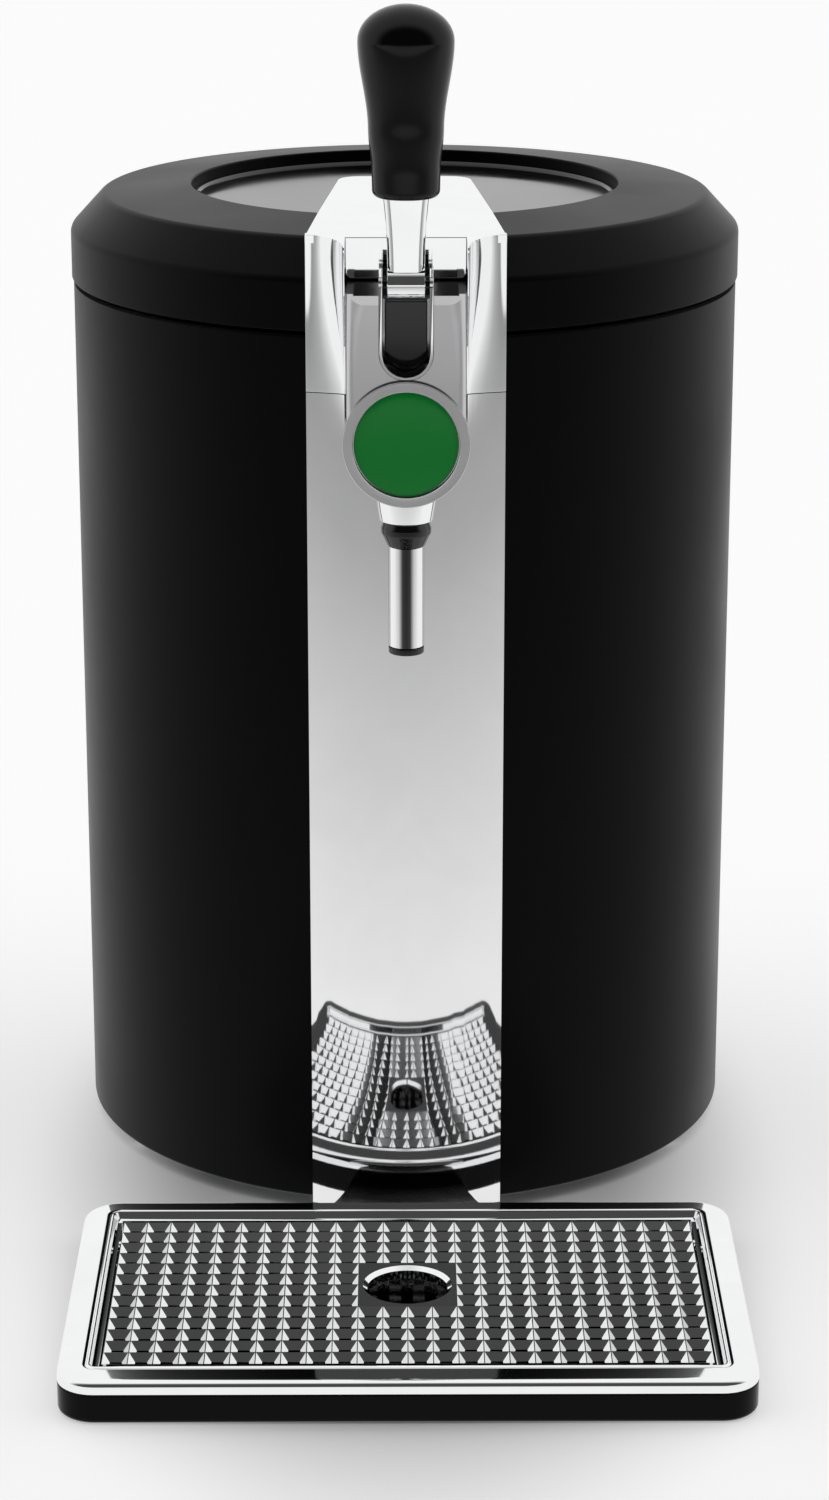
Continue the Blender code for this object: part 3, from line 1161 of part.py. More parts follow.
def make_tap(drum, lever, paint):
    silver, chrome, gloss = paint["satin_silver"], paint["chrome"], paint["black_gloss"]

    # Housing: a block with a half-round lower end, open at the top, with a slot for the yoke
    lower_end = arc(HOUSING_HALF, pi, 2 * pi, 12, (0, BADGE_Z))
    outline = lower_end + [Vector((HOUSING_HALF, HOUSING_TOP)), Vector((-HOUSING_HALF, HOUSING_TOP))]
    mesh = prism(outline, "Y", -HOUSING_FRONT, -HOUSING_BACK)
    front_edges = [
        edge
        for edge in mesh.edges
        if all(abs(vert.co.y + HOUSING_FRONT) < GAP for vert in edge.verts)
        and any(vert.co.z < HOUSING_TOP - GAP for vert in edge.verts)
    ]
    bmesh.ops.bevel(mesh, geom=front_edges, offset=HOUSING_EDGE, segments=3, profile=0.5, affect="EDGES")

    # The upper edge of the front is rolled over, round both corners
    lip = [
        edge
        for edge in mesh.edges
        if all(
            abs(vert.co.z - HOUSING_TOP) < GAP and vert.co.y < HOUSING_EDGE + GAP - HOUSING_FRONT
            for vert in edge.verts
        )
    ]
    bmesh.ops.bevel(mesh, geom=lip, offset=HOUSING_LIP, segments=2, profile=0.5, affect="EDGES")
    housing = piece("tap_housing", closed(mesh), silver, drum)
    pocket_half = HOUSING_HALF - HOUSING_WALL
    shaped(housing, box(
        (-pocket_half, pocket_half),
        (HOUSING_WALL - HOUSING_FRONT, -HOUSING_BACK - HOUSING_WALL),
        (POCKET_FLOOR, HOUSING_TOP + GAP),
    ))
    slot_half = SLOT_HALF + YOKE_WALL + GAP
    slot = arc(slot_half, pi, 2 * pi, 10, (0, SLOT_CENTRE))
    slot += [Vector((slot_half, HOUSING_TOP + GAP)), Vector((-slot_half, HOUSING_TOP + GAP))]
    shaped(housing, prism(slot, "Y", -HOUSING_FRONT - GAP, HOUSING_WALL + GAP - HOUSING_FRONT))
    seat = HOLDER_BOTTOM + (HOLDER_SHOULDER - HOLDER_BOTTOM) + HOLDER_SEAT
    shaped(housing, rod(
        (0, -SPOUT_Y, 0), HOLDER_TOP_RADIUS + GAP, "Z", HOLDER_BOTTOM, seat + GAP, segments=SPOUT_SEGMENTS
    ))

    # Yoke: a bright U-shaped frame in the slot, whose ears carry the lever's pin
    outer_half = SLOT_HALF + YOKE_WALL
    outside = arc(outer_half, pi, 2 * pi, 10, (0, SLOT_CENTRE))
    outside += [Vector((outer_half, EAR_TOP)), Vector((SLOT_HALF, EAR_TOP))]
    inside = arc(SLOT_HALF, 2 * pi, pi, 10, (0, SLOT_CENTRE))
    frame = outside + inside + [Vector((-SLOT_HALF, EAR_TOP)), Vector((-outer_half, EAR_TOP))]
    front = HOUSING_FRONT + GAP
    yoke = piece("tap_yoke", prism(frame, "Y", -front, YOKE_DEPTH - front), chrome, drum)
    ear_back = YOKE_DEPTH - front
    trims = (
        [(-front - GAP, HOUSING_TOP), (EAR_TRIM - front, EAR_TOP + GAP), (-front - GAP, EAR_TOP + GAP)],
        [(ear_back + GAP, HOUSING_TOP), (ear_back + GAP, EAR_TOP + GAP), (ear_back - EAR_TRIM, EAR_TOP + GAP)],
    )
    for trim in trims:
        shaped(yoke, prism(trim, "X", -HOUSING_HALF, HOUSING_HALF))
    pin_half = outer_half + GAP
    shaped(yoke, rod(
        (0, -LEVER_Y, LEVER_Z), LEVER_PIN_RADIUS + GAP, "X", -HOUSING_HALF, HOUSING_HALF, segments=12
    ))
    pin = rod((0, -LEVER_Y, LEVER_Z), LEVER_PIN_RADIUS, "X", -pin_half, pin_half, segments=12)
    piece("lever_pin", pin, paint["polished_steel"], drum)

    # Black valve body behind the slot
    core = rounded([
        (-CORE_HALF, CORE_TOP),
        (-CORE_HALF, CORE_BOTTOM, CORE_HALF * 0.8),
        (CORE_HALF, CORE_BOTTOM, CORE_HALF * 0.8),
        (CORE_HALF, CORE_TOP),
    ])
    core_back = HOUSING_BACK + HOUSING_WALL + GAP
    piece("tap_core", prism(core, "Y", -CORE_FRONT, -core_back), gloss, drum)

    # Badge: a ring with a closed back, and a plain green disc set in it
    back = HOUSING_FRONT + GAP
    front = back + BADGE_RING_DEPTH - GAP
    ring = rod((0, 0, BADGE_Z), BADGE_RING_RADIUS, "Y", -front, -back, segments=32)
    ring = piece("badge_ring", ring, silver, drum)
    shaped(ring, rod((0, 0, BADGE_Z), BADGE_RADIUS + GAP, "Y", -front - GAP, -back - BADGE_BACK, segments=32))
    disc = rod(
        (0, 0, BADGE_Z), BADGE_RADIUS, "Y", BADGE_INSET - front, -back - BADGE_BACK - GAP, segments=32
    )
    piece("badge_disc", disc, paint["badge_green"], drum)

    # Lever: a hub on the pin and a flaring stem with a spigot for the grip
    hub_half = STEM_FOOT_HALF
    arm = piece("tap_lever", rod(
        (0, -LEVER_Y, LEVER_Z), HUB_RADIUS, "X", -hub_half, hub_half, segments=20
    ), chrome, lever)
    stem = []
    for index in range(5):
        share = index / 4
        half = STEM_FOOT_HALF + (STEM_HEAD_HALF - STEM_FOOT_HALF) * share**2
        depth = STEM_DEPTH / 2
        z = LEVER_Z + (STEM_TOP - LEVER_Z) * share
        corners = [(-half, -depth, depth / 3), (half, -depth, depth / 3), (half, depth, depth / 3)]
        corners.append((-half, depth, depth / 3))
        outline = rounded(corners, steps=2)
        stem.append([(point[0], point[1] - LEVER_Y, z) for point in outline])
    joined(arm, lofted(stem))
    spigot_top = STEM_TOP + SPIGOT_LENGTH
    joined(arm, rod((0, -LEVER_Y, 0), SPIGOT_RADIUS, "Z", STEM_TOP - SPIGOT_RADIUS, spigot_top, segments=12))
    shaped(arm, rod(
        (0, -LEVER_Y, LEVER_Z), LEVER_PIN_RADIUS + GAP, "X", -HOUSING_HALF, HOUSING_HALF, segments=12
    ))

    # Grip: round foot, slow swell to the head and a domed top, a little shallower than wide
    profile = []
    foot_z = GRIP_BOTTOM + GRIP_FOOT_HEIGHT
    for index in range(4):
        angle = pi / 2 * index / 4
        profile.append((GRIP_FOOT_RADIUS * sin(angle) ** 0.8, foot_z - GRIP_FOOT_HEIGHT * cos(angle)))
    profile.append((GRIP_FOOT_RADIUS, foot_z))
    profile.append((GRIP_WAIST_RADIUS, GRIP_WAIST_Z))
    for index in range(1, 4):
        share = index / 4
        swell = share * share * (3 - 2 * share)
        radius = GRIP_WAIST_RADIUS + (GRIP_HEAD_RADIUS - GRIP_WAIST_RADIUS) * swell
        profile.append((radius, GRIP_WAIST_Z + (GRIP_HEAD_Z - GRIP_WAIST_Z) * share))
    for index in range(6):
        angle = pi / 2 * index / 5
        profile.append((GRIP_HEAD_RADIUS * cos(angle), GRIP_HEAD_Z + (GRIP_TOP - GRIP_HEAD_Z) * sin(angle)))
    profile[0] = (0, GRIP_BOTTOM)
    profile[-1] = (0, GRIP_TOP)
    mesh = turned(profile, segments=GRIP_SEGMENTS, open_profile=True)
    bmesh.ops.scale(mesh, verts=mesh.verts, vec=(1, GRIP_DEPTH_RATIO, 1))
    bmesh.ops.translate(mesh, verts=mesh.verts, vec=(0, -LEVER_Y, 0))
    grip = piece("tap_handle", mesh, gloss, lever, smooth=50)
    half_x, half_y = STEM_HEAD_HALF + GAP, STEM_DEPTH / 2 + GAP
    deep = (-LEVER_Y - half_y, -LEVER_Y + half_y)
    shaped(grip, box((-half_x, half_x), deep, (GRIP_BOTTOM - GAP, STEM_TOP + GAP)))
    bore_top = spigot_top + GAP
    shaped(grip, rod((0, -LEVER_Y, 0), SPIGOT_RADIUS + GAP, "Z", STEM_TOP - GAP, bore_top, segments=12))


def make_spout(drum, paint):
    chrome, gloss = paint["chrome"], paint["black_gloss"]
    neck_bore = TUBE_NECK_RADIUS + GAP
    seat = HOLDER_SHOULDER + HOLDER_SEAT
    piece("spout_holder", turned([
        (HOLDER_TOP_RADIUS, seat),
        (neck_bore, seat),
        (neck_bore, HOLDER_BOTTOM),
        (HOLDER_RADIUS, HOLDER_BOTTOM),
        (HOLDER_TOP_RADIUS, HOLDER_SHOULDER),
    ], SPOUT_SEGMENTS, -SPOUT_Y), chrome, drum)
    top = HOLDER_BOTTOM - GAP
    piece("spout_collar", turned([
        (COLLAR_TOP_RADIUS, top),
        (neck_bore, top),
        (neck_bore, COLLAR_BOTTOM),
        (COLLAR_FOOT_RADIUS, COLLAR_BOTTOM),
        (COLLAR_RADIUS, COLLAR_WIDEST),
    ], SPOUT_SEGMENTS, -SPOUT_Y), gloss, drum)
    shoulder = COLLAR_BOTTOM - GAP
    piece("spout_tube", turned([
        (TUBE_RADIUS, shoulder),
        (TUBE_NECK_RADIUS, shoulder),
        (TUBE_NECK_RADIUS, TUBE_NECK_TOP),
        (TUBE_BORE, TUBE_NECK_TOP),
        (TUBE_BORE, TUBE_BOTTOM),
        (TUBE_RADIUS, TUBE_BOTTOM),
    ], SPOUT_SEGMENTS, -SPOUT_Y), paint["polished_steel"], drum)
    seat = TUBE_BOTTOM - GAP
    plug = TUBE_BORE - GAP
    piece("spout_tip", turned(rounded([
        (TUBE_RADIUS, seat),
        (plug, seat),
        (plug, seat + TIP_PLUG),
        (TIP_BORE, seat + TIP_PLUG),
        (TIP_BORE, TIP_BOTTOM),
        (TUBE_RADIUS, TIP_BOTTOM, (seat - TIP_BOTTOM) / 3),
    ], steps=1), SPOUT_SEGMENTS, -SPOUT_Y), gloss, drum)


def tray_loop(inset, z, steps=3):
    half = TRAY_HALF_WIDTH - inset
    corner = max(TRAY_CORNER - inset, GAP)
    outline = rounded([
        (-half, inset - TRAY_FRONT, corner),
        (half, inset - TRAY_FRONT, corner),
        (half, -TRAY_REAR - inset, corner),
        (-half, -TRAY_REAR - inset, corner),
    ], steps)
    return at_height(outline, z)


def make_tray(tray, grille, paint):
    # Basin with a tongue that reaches in under the drum
    foot = TRAY_WALL / 3
    floor_corner = TRAY_WALL
    base = piece("tray_base", lofted([
        tray_loop(foot, 0),
        tray_loop(0, foot),
        tray_loop(0, TRAY_BASE_TOP),
        tray_loop(TRAY_WALL, TRAY_BASE_TOP),
        tray_loop(TRAY_WALL, TRAY_FLOOR + floor_corner),
        tray_loop(TRAY_WALL + floor_corner, TRAY_FLOOR),
    ]), paint["black_gloss"], tray)
    tongue = rounded([
        (-TRAY_TONGUE_HALF, -TRAY_TONGUE_END, TRAY_CORNER / 2),
        (-TRAY_TONGUE_HALF, -TRAY_REAR - TRAY_WALL / 2),
        (TRAY_TONGUE_HALF, -TRAY_REAR - TRAY_WALL / 2),
        (TRAY_TONGUE_HALF, -TRAY_TONGUE_END, TRAY_CORNER / 2),
    ])
    joined(base, prism(tongue, "Z", TRAY_TONGUE_LIFT, SHELL_BOTTOM - GAP))

    # Bright rim: a lip over the basin's wall, a groove inside it and a ledge that carries the grille
    piece("tray_rim", lofted([
        tray_loop(0, TRAY_BASE_TOP + GAP),
        tray_loop(0, RIM_LIP_TOP),
        tray_loop(RIM_BEVEL * 0.3, RIM_LIP_TOP + RIM_BEVEL * 0.7),
        tray_loop(RIM_BEVEL, RIM_TOP),
        tray_loop(RIM_WIDTH - 2 * RIM_GROOVE, RIM_TOP),
        tray_loop(RIM_WIDTH - RIM_GROOVE, RIM_TOP - RIM_GROOVE),
        tray_loop(RIM_WIDTH, RIM_TOP - RIM_GROOVE),
        tray_loop(RIM_WIDTH, RIM_LEDGE_TOP),
        tray_loop(RIM_WIDTH + RIM_LEDGE_WIDTH, RIM_LEDGE_TOP),
        tray_loop(RIM_WIDTH + RIM_LEDGE_WIDTH, RIM_BOTTOM),
        tray_loop(TRAY_WALL + GAP, RIM_BOTTOM),
        tray_loop(TRAY_WALL + GAP, TRAY_BASE_TOP + GAP),
    ], closed_loop=True), paint["chrome"], tray)

    # Grille: a sheet of cells that meet in sharp ridges; each tapers down to its slot
    plate_x = PLATE_CELLS * CELL_WIDTH / 2
    plate_low = PLATE_FIRST_ROW * CELL_LENGTH - CELL_ROWS * CELL_LENGTH / 2
    plate_high = plate_low + PLATE_CELLS * CELL_LENGTH

    def is_plate(face):
        middle = face.calc_center_median()
        return abs(middle.x) < plate_x and plate_low < middle.y < plate_high

    def sheet(z):
        mesh = bmesh.new()
        bmesh.ops.create_grid(mesh, x_segments=CELL_COLUMNS, y_segments=CELL_ROWS, size=1)
        half_length = CELL_ROWS * CELL_LENGTH / 2
        half_width = CELL_COLUMNS * CELL_WIDTH / 2
        bmesh.ops.scale(mesh, verts=mesh.verts, vec=(half_width, half_length, 1))
        bmesh.ops.translate(mesh, verts=mesh.verts, vec=(0, 0, z))
        return mesh, [face for face in mesh.faces if not is_plate(face)]

    depth = GRILLE_TOP - GRILLE_BOTTOM
    top, cells = sheet(GRILLE_TOP)
    taper = (CELL_WIDTH - CELL_SLOT) / 2
    bmesh.ops.inset_individual(top, faces=cells, thickness=taper, depth=-depth, use_even_offset=True)
    bmesh.ops.delete(top, geom=cells, context="FACES")
    upper = bpy.data.meshes.new("grille_upper")
    top.to_mesh(upper)
    top.free()

    low, cells = sheet(GRILLE_BOTTOM)
    bmesh.ops.inset_individual(low, faces=cells, thickness=taper, use_even_offset=True)
    bmesh.ops.delete(low, geom=cells, context="FACES")
    low.from_mesh(upper)
    bmesh.ops.remove_doubles(low, verts=low.verts, dist=1e-6)
    rims = [edge for edge in low.edges if edge.is_boundary]
    bmesh.ops.bridge_loops(low, edges=rims)
    bmesh.ops.translate(low, verts=low.verts, vec=(0, GRILLE_MIDDLE_Y, 0))
    bpy.data.meshes.remove(upper)
    bmesh.ops.dissolve_limit(low, angle_limit=radians(0.5), verts=low.verts, edges=low.edges)
    made = piece("drip_grille", closed(low), paint["chrome"], grille)

    # Drain hole with a chamfer in the plain plate
    hole_y = GRILLE_MIDDLE_Y + (plate_low + plate_high) / 2
    shaped(made, turned([
        (0, GRILLE_TOP + GAP),
        (DRAIN_RADIUS + DRAIN_CHAMFER + GAP, GRILLE_TOP + GAP),
        (DRAIN_RADIUS, GRILLE_TOP - DRAIN_CHAMFER),
        (DRAIN_RADIUS, GRILLE_BOTTOM - GAP),
        (0, GRILLE_BOTTOM - GAP),
    ], 28, hole_y, open_profile=True))


def main():
    for item in list(bpy.data.objects):
        bpy.data.objects.remove(item, do_unlink=True)
    paint = make_materials()
    drum = stand("drum_axis", (0, AXIS_Y, 0))
    lid = stand("lid_pivot", (0, HINGE_Y, HINGE_Z), drum)
    lever = stand("lever_pivot", (0, -LEVER_Y, LEVER_Z), drum)
    tray = stand("tray_slide", (0, -TRAY_REAR, 0), drum)
    grille = stand("grille_lift", (0, GRILLE_MIDDLE_Y, GRILLE_BOTTOM), drum)
    axle_y = REAR_FACE + GAP + SWITCH_FLANGE - ROCKER_AXLE_DEPTH
    rocker = stand("rocker_axle", (SWITCH_X, axle_y, REAR_MIDDLE), drum)
    fan_axle = stand("fan_axle", (0, 0, FAN_BOTTOM), drum)
    make_drum(drum, paint)
    make_cooling(drum, fan_axle, paint)
    make_rear(drum, rocker, paint)
    ring, liner = make_lid(lid, paint)
    make_hinge(drum, lid, liner, paint)
    make_cap(ring, lid, paint)
    make_column(drum, paint)
    make_tap(drum, lever, paint)
    make_spout(drum, paint)
    make_tray(tray, grille, paint)


main()
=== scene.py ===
# %% [markdown]
# # A cooled keg dispenser, dressed piece by piece
# The measured model already says where everything sits and how it moves. This lesson opens it, gives
# each visible piece a finer skin of the same size, and then a finish that behaves like the real one:
# a satin black drum, chrome round the tap and the tray, polished steel down the column.
# Everything is in metres, with the tap facing -Y and the table at Z = 0.

# %% Open the measured model
import json
from math import atan2, cos, pi, radians, sin, sqrt, tan

import bmesh
import bpy
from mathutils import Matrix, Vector

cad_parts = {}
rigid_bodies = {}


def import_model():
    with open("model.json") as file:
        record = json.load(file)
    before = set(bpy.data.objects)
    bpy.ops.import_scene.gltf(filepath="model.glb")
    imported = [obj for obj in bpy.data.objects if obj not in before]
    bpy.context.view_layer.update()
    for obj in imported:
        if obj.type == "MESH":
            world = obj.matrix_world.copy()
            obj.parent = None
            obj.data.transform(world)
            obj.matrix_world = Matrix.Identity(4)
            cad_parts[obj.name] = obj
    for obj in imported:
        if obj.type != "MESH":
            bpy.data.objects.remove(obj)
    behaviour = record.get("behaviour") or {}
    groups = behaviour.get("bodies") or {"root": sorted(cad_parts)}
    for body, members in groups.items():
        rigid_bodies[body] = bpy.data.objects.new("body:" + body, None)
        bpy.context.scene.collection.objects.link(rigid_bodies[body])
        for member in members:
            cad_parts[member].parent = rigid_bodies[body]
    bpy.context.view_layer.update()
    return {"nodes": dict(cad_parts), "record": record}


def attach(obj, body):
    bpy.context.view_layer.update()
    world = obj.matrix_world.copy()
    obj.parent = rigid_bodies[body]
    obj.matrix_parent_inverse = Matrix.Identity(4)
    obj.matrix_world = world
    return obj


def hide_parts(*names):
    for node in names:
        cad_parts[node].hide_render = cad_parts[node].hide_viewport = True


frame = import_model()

nodes = frame["nodes"]

# %% [markdown]
# ## Two places that everything else is measured from
# The drum is round about an upright line 89.2 mm behind the middle of the whole machine. Distances to
# the tap and the tray are easiest to think of from that line, so `back(y)` turns them into the frame.

# %% The drum's axis
DRUM_Y = 0.0892
HALF_WIDTH = 0.0372  # of the column and of the chrome tongue where it leaves the cap


def back(y):
    return DRUM_Y + y


print("the drum's axis stands at y", DRUM_Y)

# %% [markdown]
# ## Small tools
# Blender's operators act on whatever is selected, and the opened pieces arrive selected. So every step
# starts by selecting nothing, and edges or faces are then picked by where they are or which way they
# face, as one would pick them by eye.

# %% Pick, hold and settle
def pick_nothing():
    if bpy.context.object and bpy.context.object.mode != "OBJECT":
        bpy.ops.object.mode_set(mode="OBJECT")
    bpy.ops.object.select_all(action="DESELECT")


def hold(piece):
    pick_nothing()
    piece.select_set(True)
    bpy.context.view_layer.objects.active = piece
    return piece


def edit(piece):
    hold(piece)
    bpy.ops.object.mode_set(mode="EDIT")
    bpy.ops.mesh.select_all(action="SELECT")
    return piece


def pick(kind, test):
    bpy.ops.mesh.select_mode(type=kind)
    bpy.ops.mesh.select_all(action="DESELECT")
    mesh = bmesh.from_edit_mesh(bpy.context.object.data)
    picked = 0
    for item in {"VERT": mesh.verts, "EDGE": mesh.edges, "FACE": mesh.faces}[kind]:
        if test(item):
            item.select_set(True)
            picked += 1
    bmesh.update_edit_mesh(bpy.context.object.data)
    return picked


slot_of = {part["node"]: part["material_slot"] for part in frame["record"]["subparts"]}
looks = {}


def settle(piece, body, slot, *replaced, angle=32, look=None):
    edit(piece)
    bpy.ops.mesh.remove_doubles(threshold=0.000002)
    bpy.ops.mesh.normals_make_consistent(inside=False)
    bpy.ops.object.mode_set(mode="OBJECT")
    bpy.ops.object.transform_apply(location=True, rotation=True, scale=True)
    bpy.ops.object.shade_smooth_by_angle(angle=radians(angle))
    even = piece.modifiers.new("even_shading", "WEIGHTED_NORMAL")
    even.keep_sharp = True
    bpy.ops.object.modifier_apply(modifier=even.name)
    piece.data.materials.clear()
    piece["look"] = look or slot
    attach(piece, body)
    if replaced:
        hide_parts(*replaced)
    size = [round(length * 1000, 1) for length in piece.dimensions]
    print(piece.name, "rides on", body, "with", len(piece.data.polygons), "faces, mm", size)
    return piece


# %% [markdown]
# ## Turning a round piece without a lathe
# Most of this machine is round. A circle, then one extrusion and one resize for every step of the
# profile, gives clean rings that can be picked later by their radius and height and rounded with a bevel.
# A spin would do the same from a drawn profile, but then every ring has to be found again.

# %% The turning tool and the ring picker
DIRECTIONS = {"X": (Vector((1, 0, 0)), (0, pi / 2, 0)), "Y": (Vector((0, 1, 0)), (pi / 2, 0, 0)),
              "Z": (Vector((0, 0, 1)), (0, 0, 0))}


def turn_up(title, steps, centre=(0, DRUM_Y), axis="Z", segments=160, close=False, caps=""):
    pick_nothing()
    along, tilt = DIRECTIONS[axis]
    others = [index for index in range(3) if not along[index]]

    def at(height):
        place = along * height
        for index, value in zip(others, centre):
            place[index] = value
        return place

    radius, height = steps[0]
    bpy.ops.mesh.primitive_circle_add(vertices=segments, radius=radius, location=at(height), rotation=tilt)
    made = bpy.context.object
    made.name = made.data.name = title
    bpy.ops.object.transform_apply(location=True, rotation=True, scale=True)
    bpy.ops.object.mode_set(mode="EDIT")
    bpy.ops.mesh.select_mode(type="EDGE")
    bpy.ops.mesh.select_all(action="SELECT")
    if "start" in caps:
        bpy.ops.mesh.edge_face_add()
    for next_radius, next_height in steps[1:] + ([steps[0]] if close else []):
        bpy.ops.mesh.extrude_edges_move(TRANSFORM_OT_translate={"value": along * (next_height - height)})
        grow = next_radius / radius
        size = [1 if along[index] else grow for index in range(3)]
        bpy.ops.transform.resize(value=size, center_override=at(next_height))
        radius, height = next_radius, next_height
    if "end" in caps:
        bpy.ops.mesh.edge_face_add()
    bpy.ops.mesh.select_all(action="SELECT")
    bpy.ops.mesh.remove_doubles(threshold=0.000002)
    bpy.ops.mesh.normals_make_consistent(inside=False)
    made["axis"], made["centre"] = axis, centre
    return made


def round_rings(made, rings, width, steps=3):
    along = DIRECTIONS[made["axis"]][0]
    others = [index for index in range(3) if not along[index]]

    def on_ring(vert, ring):
        out = sqrt(sum((vert.co[index] - value) ** 2 for index, value in zip(others, made["centre"])))
        return abs(out - ring[0]) < 0.00003 and abs(vert.co.dot(along) - ring[1]) < 0.00003

    pick("EDGE", lambda edge: any(all(on_ring(vert, ring) for vert in edge.verts) for ring in rings))
    bpy.ops.mesh.bevel(offset=width, segments=steps, profile=0.5, affect="EDGES")
    return made


# %% [markdown]
# ## Blocks, cutters and copies
# Windows and slots are cut with a Boolean, whose cutter is a plain block or a turned rod that is thrown
# away afterwards. A mirrored piece is modelled on one side and copied across, then its faces are turned
# outwards again, because a mirror turns them in. A boxy measured piece that only wants softer edges is
# copied, its loose triangles are merged back into plain faces, and its edges are bevelled.

# %% Block, rod, cut, soften, mirror, refine
def block(title, x, y, z):
    pick_nothing()
    ranges = (x, y, z)
    bpy.ops.mesh.primitive_cube_add(size=1, location=[sum(pair) / 2 for pair in ranges])
    made = bpy.context.object
    made.name = made.data.name = title
    made.scale = [pair[1] - pair[0] for pair in ranges]
    bpy.ops.object.transform_apply(location=True, rotation=True, scale=True)
    return made


def rod(title, radius, low, high, centre=(0, DRUM_Y), axis="Z", segments=96):
    return turn_up(title, [(radius, low), (radius, high)], centre, axis, segments, caps="start end")


def combine(piece, tool, operation="DIFFERENCE"):
    hold(piece)
    modifier = piece.modifiers.new("shape", "BOOLEAN")
    modifier.operation = operation
    modifier.object = tool
    modifier.solver = "EXACT"
    bpy.ops.object.modifier_apply(modifier=modifier.name)
    bpy.data.objects.remove(tool, do_unlink=True)
    return piece


def soften(piece, width, steps=2, angle=35):
    hold(piece)
    modifier = piece.modifiers.new("soften", "BEVEL")
    modifier.width = width
    modifier.segments = steps
    modifier.limit_method = "ANGLE"
    modifier.angle_limit = radians(angle)
    bpy.ops.object.modifier_apply(modifier=modifier.name)
    return piece


def mirrored_copy(piece, title):
    hold(piece)
    bpy.ops.object.duplicate()
    copy = bpy.context.object
    copy.name = copy.data.name = title
    edit(copy)
    bpy.ops.transform.resize(value=(-1, 1, 1), center_override=(0, 0, 0))
    bpy.ops.mesh.normals_make_consistent(inside=False)
    bpy.ops.object.mode_set(mode="OBJECT")
    return copy


def refine(node, title, width, steps=2, angle=32):
    pick_nothing()
    copy = nodes[node].copy()
    copy.data = nodes[node].data.copy()
    for key in list(copy.keys()):
        del copy[key]
    copy.parent = None
    copy.name = copy.data.name = title
    bpy.context.scene.collection.objects.link(copy)
    edit(copy)
    bpy.ops.mesh.remove_doubles(threshold=0.000005)
    bpy.ops.mesh.dissolve_limited(angle_limit=radians(1))
    bpy.ops.object.mode_set(mode="OBJECT")
    return soften(copy, width, steps, 40)


# %% [markdown]
# ## Skinning a form that changes along its length
# The column's top flares into coves, and the tray's rim runs round four corners. Such a form is a stack
# of outlines with the same number of points. A circle with that many points is extruded once per
# outline, and each ring is then laid on its own outline, so the faces stay clean quads.

# %% The skinning tool
def loft(title, sections, loop=False):
    pick_nothing()
    count = len(sections[0])
    bpy.ops.mesh.primitive_circle_add(vertices=count, radius=1, location=(0, 0, 0))
    made = bpy.context.object
    made.name = made.data.name = title
    bpy.ops.object.mode_set(mode="EDIT")
    bpy.ops.mesh.select_mode(type="EDGE")
    bpy.ops.mesh.select_all(action="SELECT")
    if not loop:
        bpy.ops.mesh.edge_face_add()
    for _ in sections[1:]:
        bpy.ops.mesh.extrude_edges_move(TRANSFORM_OT_translate={"value": (0, 0, 1)})
    if not loop:
        bpy.ops.mesh.edge_face_add()
    else:
        bpy.ops.mesh.select_non_manifold()
        bpy.ops.mesh.bridge_edge_loops()
    bpy.ops.object.mode_set(mode="OBJECT")
    for vert in made.data.vertices:
        ring = round(vert.co.z)
        index = round(atan2(vert.co.y, vert.co.x) / (2 * pi / count)) % count
        vert.co = Vector(sections[ring][index])
    edit(made)
    bpy.ops.mesh.normals_make_consistent(inside=False)
    bpy.ops.object.mode_set(mode="OBJECT")
    return made


def corner_round(corners, steps=6):
    outline = []
    for index, corner in enumerate(corners):
        here = Vector(corner[:2])
        radius = corner[2] if len(corner) > 2 else 0
        if not radius:
            outline.append(here)
            continue
        before = (Vector(corners[index - 1][:2]) - here).normalized()
        after = (Vector(corners[(index + 1) % len(corners)][:2]) - here).normalized()
        half = before.angle(after) / 2
        centre = here + (before + after).normalized() * radius / sin(half)
        start = here + before * radius / tan(half) - centre
        turn = (pi - 2 * half) * (1 if before.cross(after) < 0 else -1)
        for step in range(steps + 1):
            angle = turn * step / steps
            spin = (start.x * cos(angle) - start.y * sin(angle), start.x * sin(angle) + start.y * cos(angle))
            outline.append(centre + Vector(spin))
    return outline


# %% [markdown]
# ## The drum
# The drum is a plain moulded tube. Its lower edge is rounded so that it looks light on the table, and a
# narrow flange inside takes the base plate's screws. It is turned in one go; 256 segments keep its
# outline smooth against the white background.

# %% Drum shell and its window for the rear panel
shell = turn_up("drum_shell", [
    (0.1333, 0.3530), (0.1333, 0.0050), (0.1308, 0.0050), (0.1308, 0.0088),
    (0.1225, 0.0088), (0.1225, 0.0118), (0.1308, 0.0118), (0.1308, 0.3530),
], segments=256, close=True)
round_rings(shell, [(0.1333, 0.0050)], 0.0015, 4)
round_rings(shell, [(0.1333, 0.3530)], 0.0006, 2)
combine(shell, block("window", (-0.0478, 0.0478), (back(0.10), back(0.14)), (0.0162, 0.0618)))
settle(shell, "housing", "black_satin", "outer_shell")

# %% [markdown]
# ## The rear panel
# Behind, the mains inlet and the switch sit in a flat recess, so that neither stands out past the drum.
# The panel is a block trimmed to the round of the drum, hollowed from behind, and slotted for the fan's
# warm air. The trimming rod has as many sides as the drum, so the two curves run together.

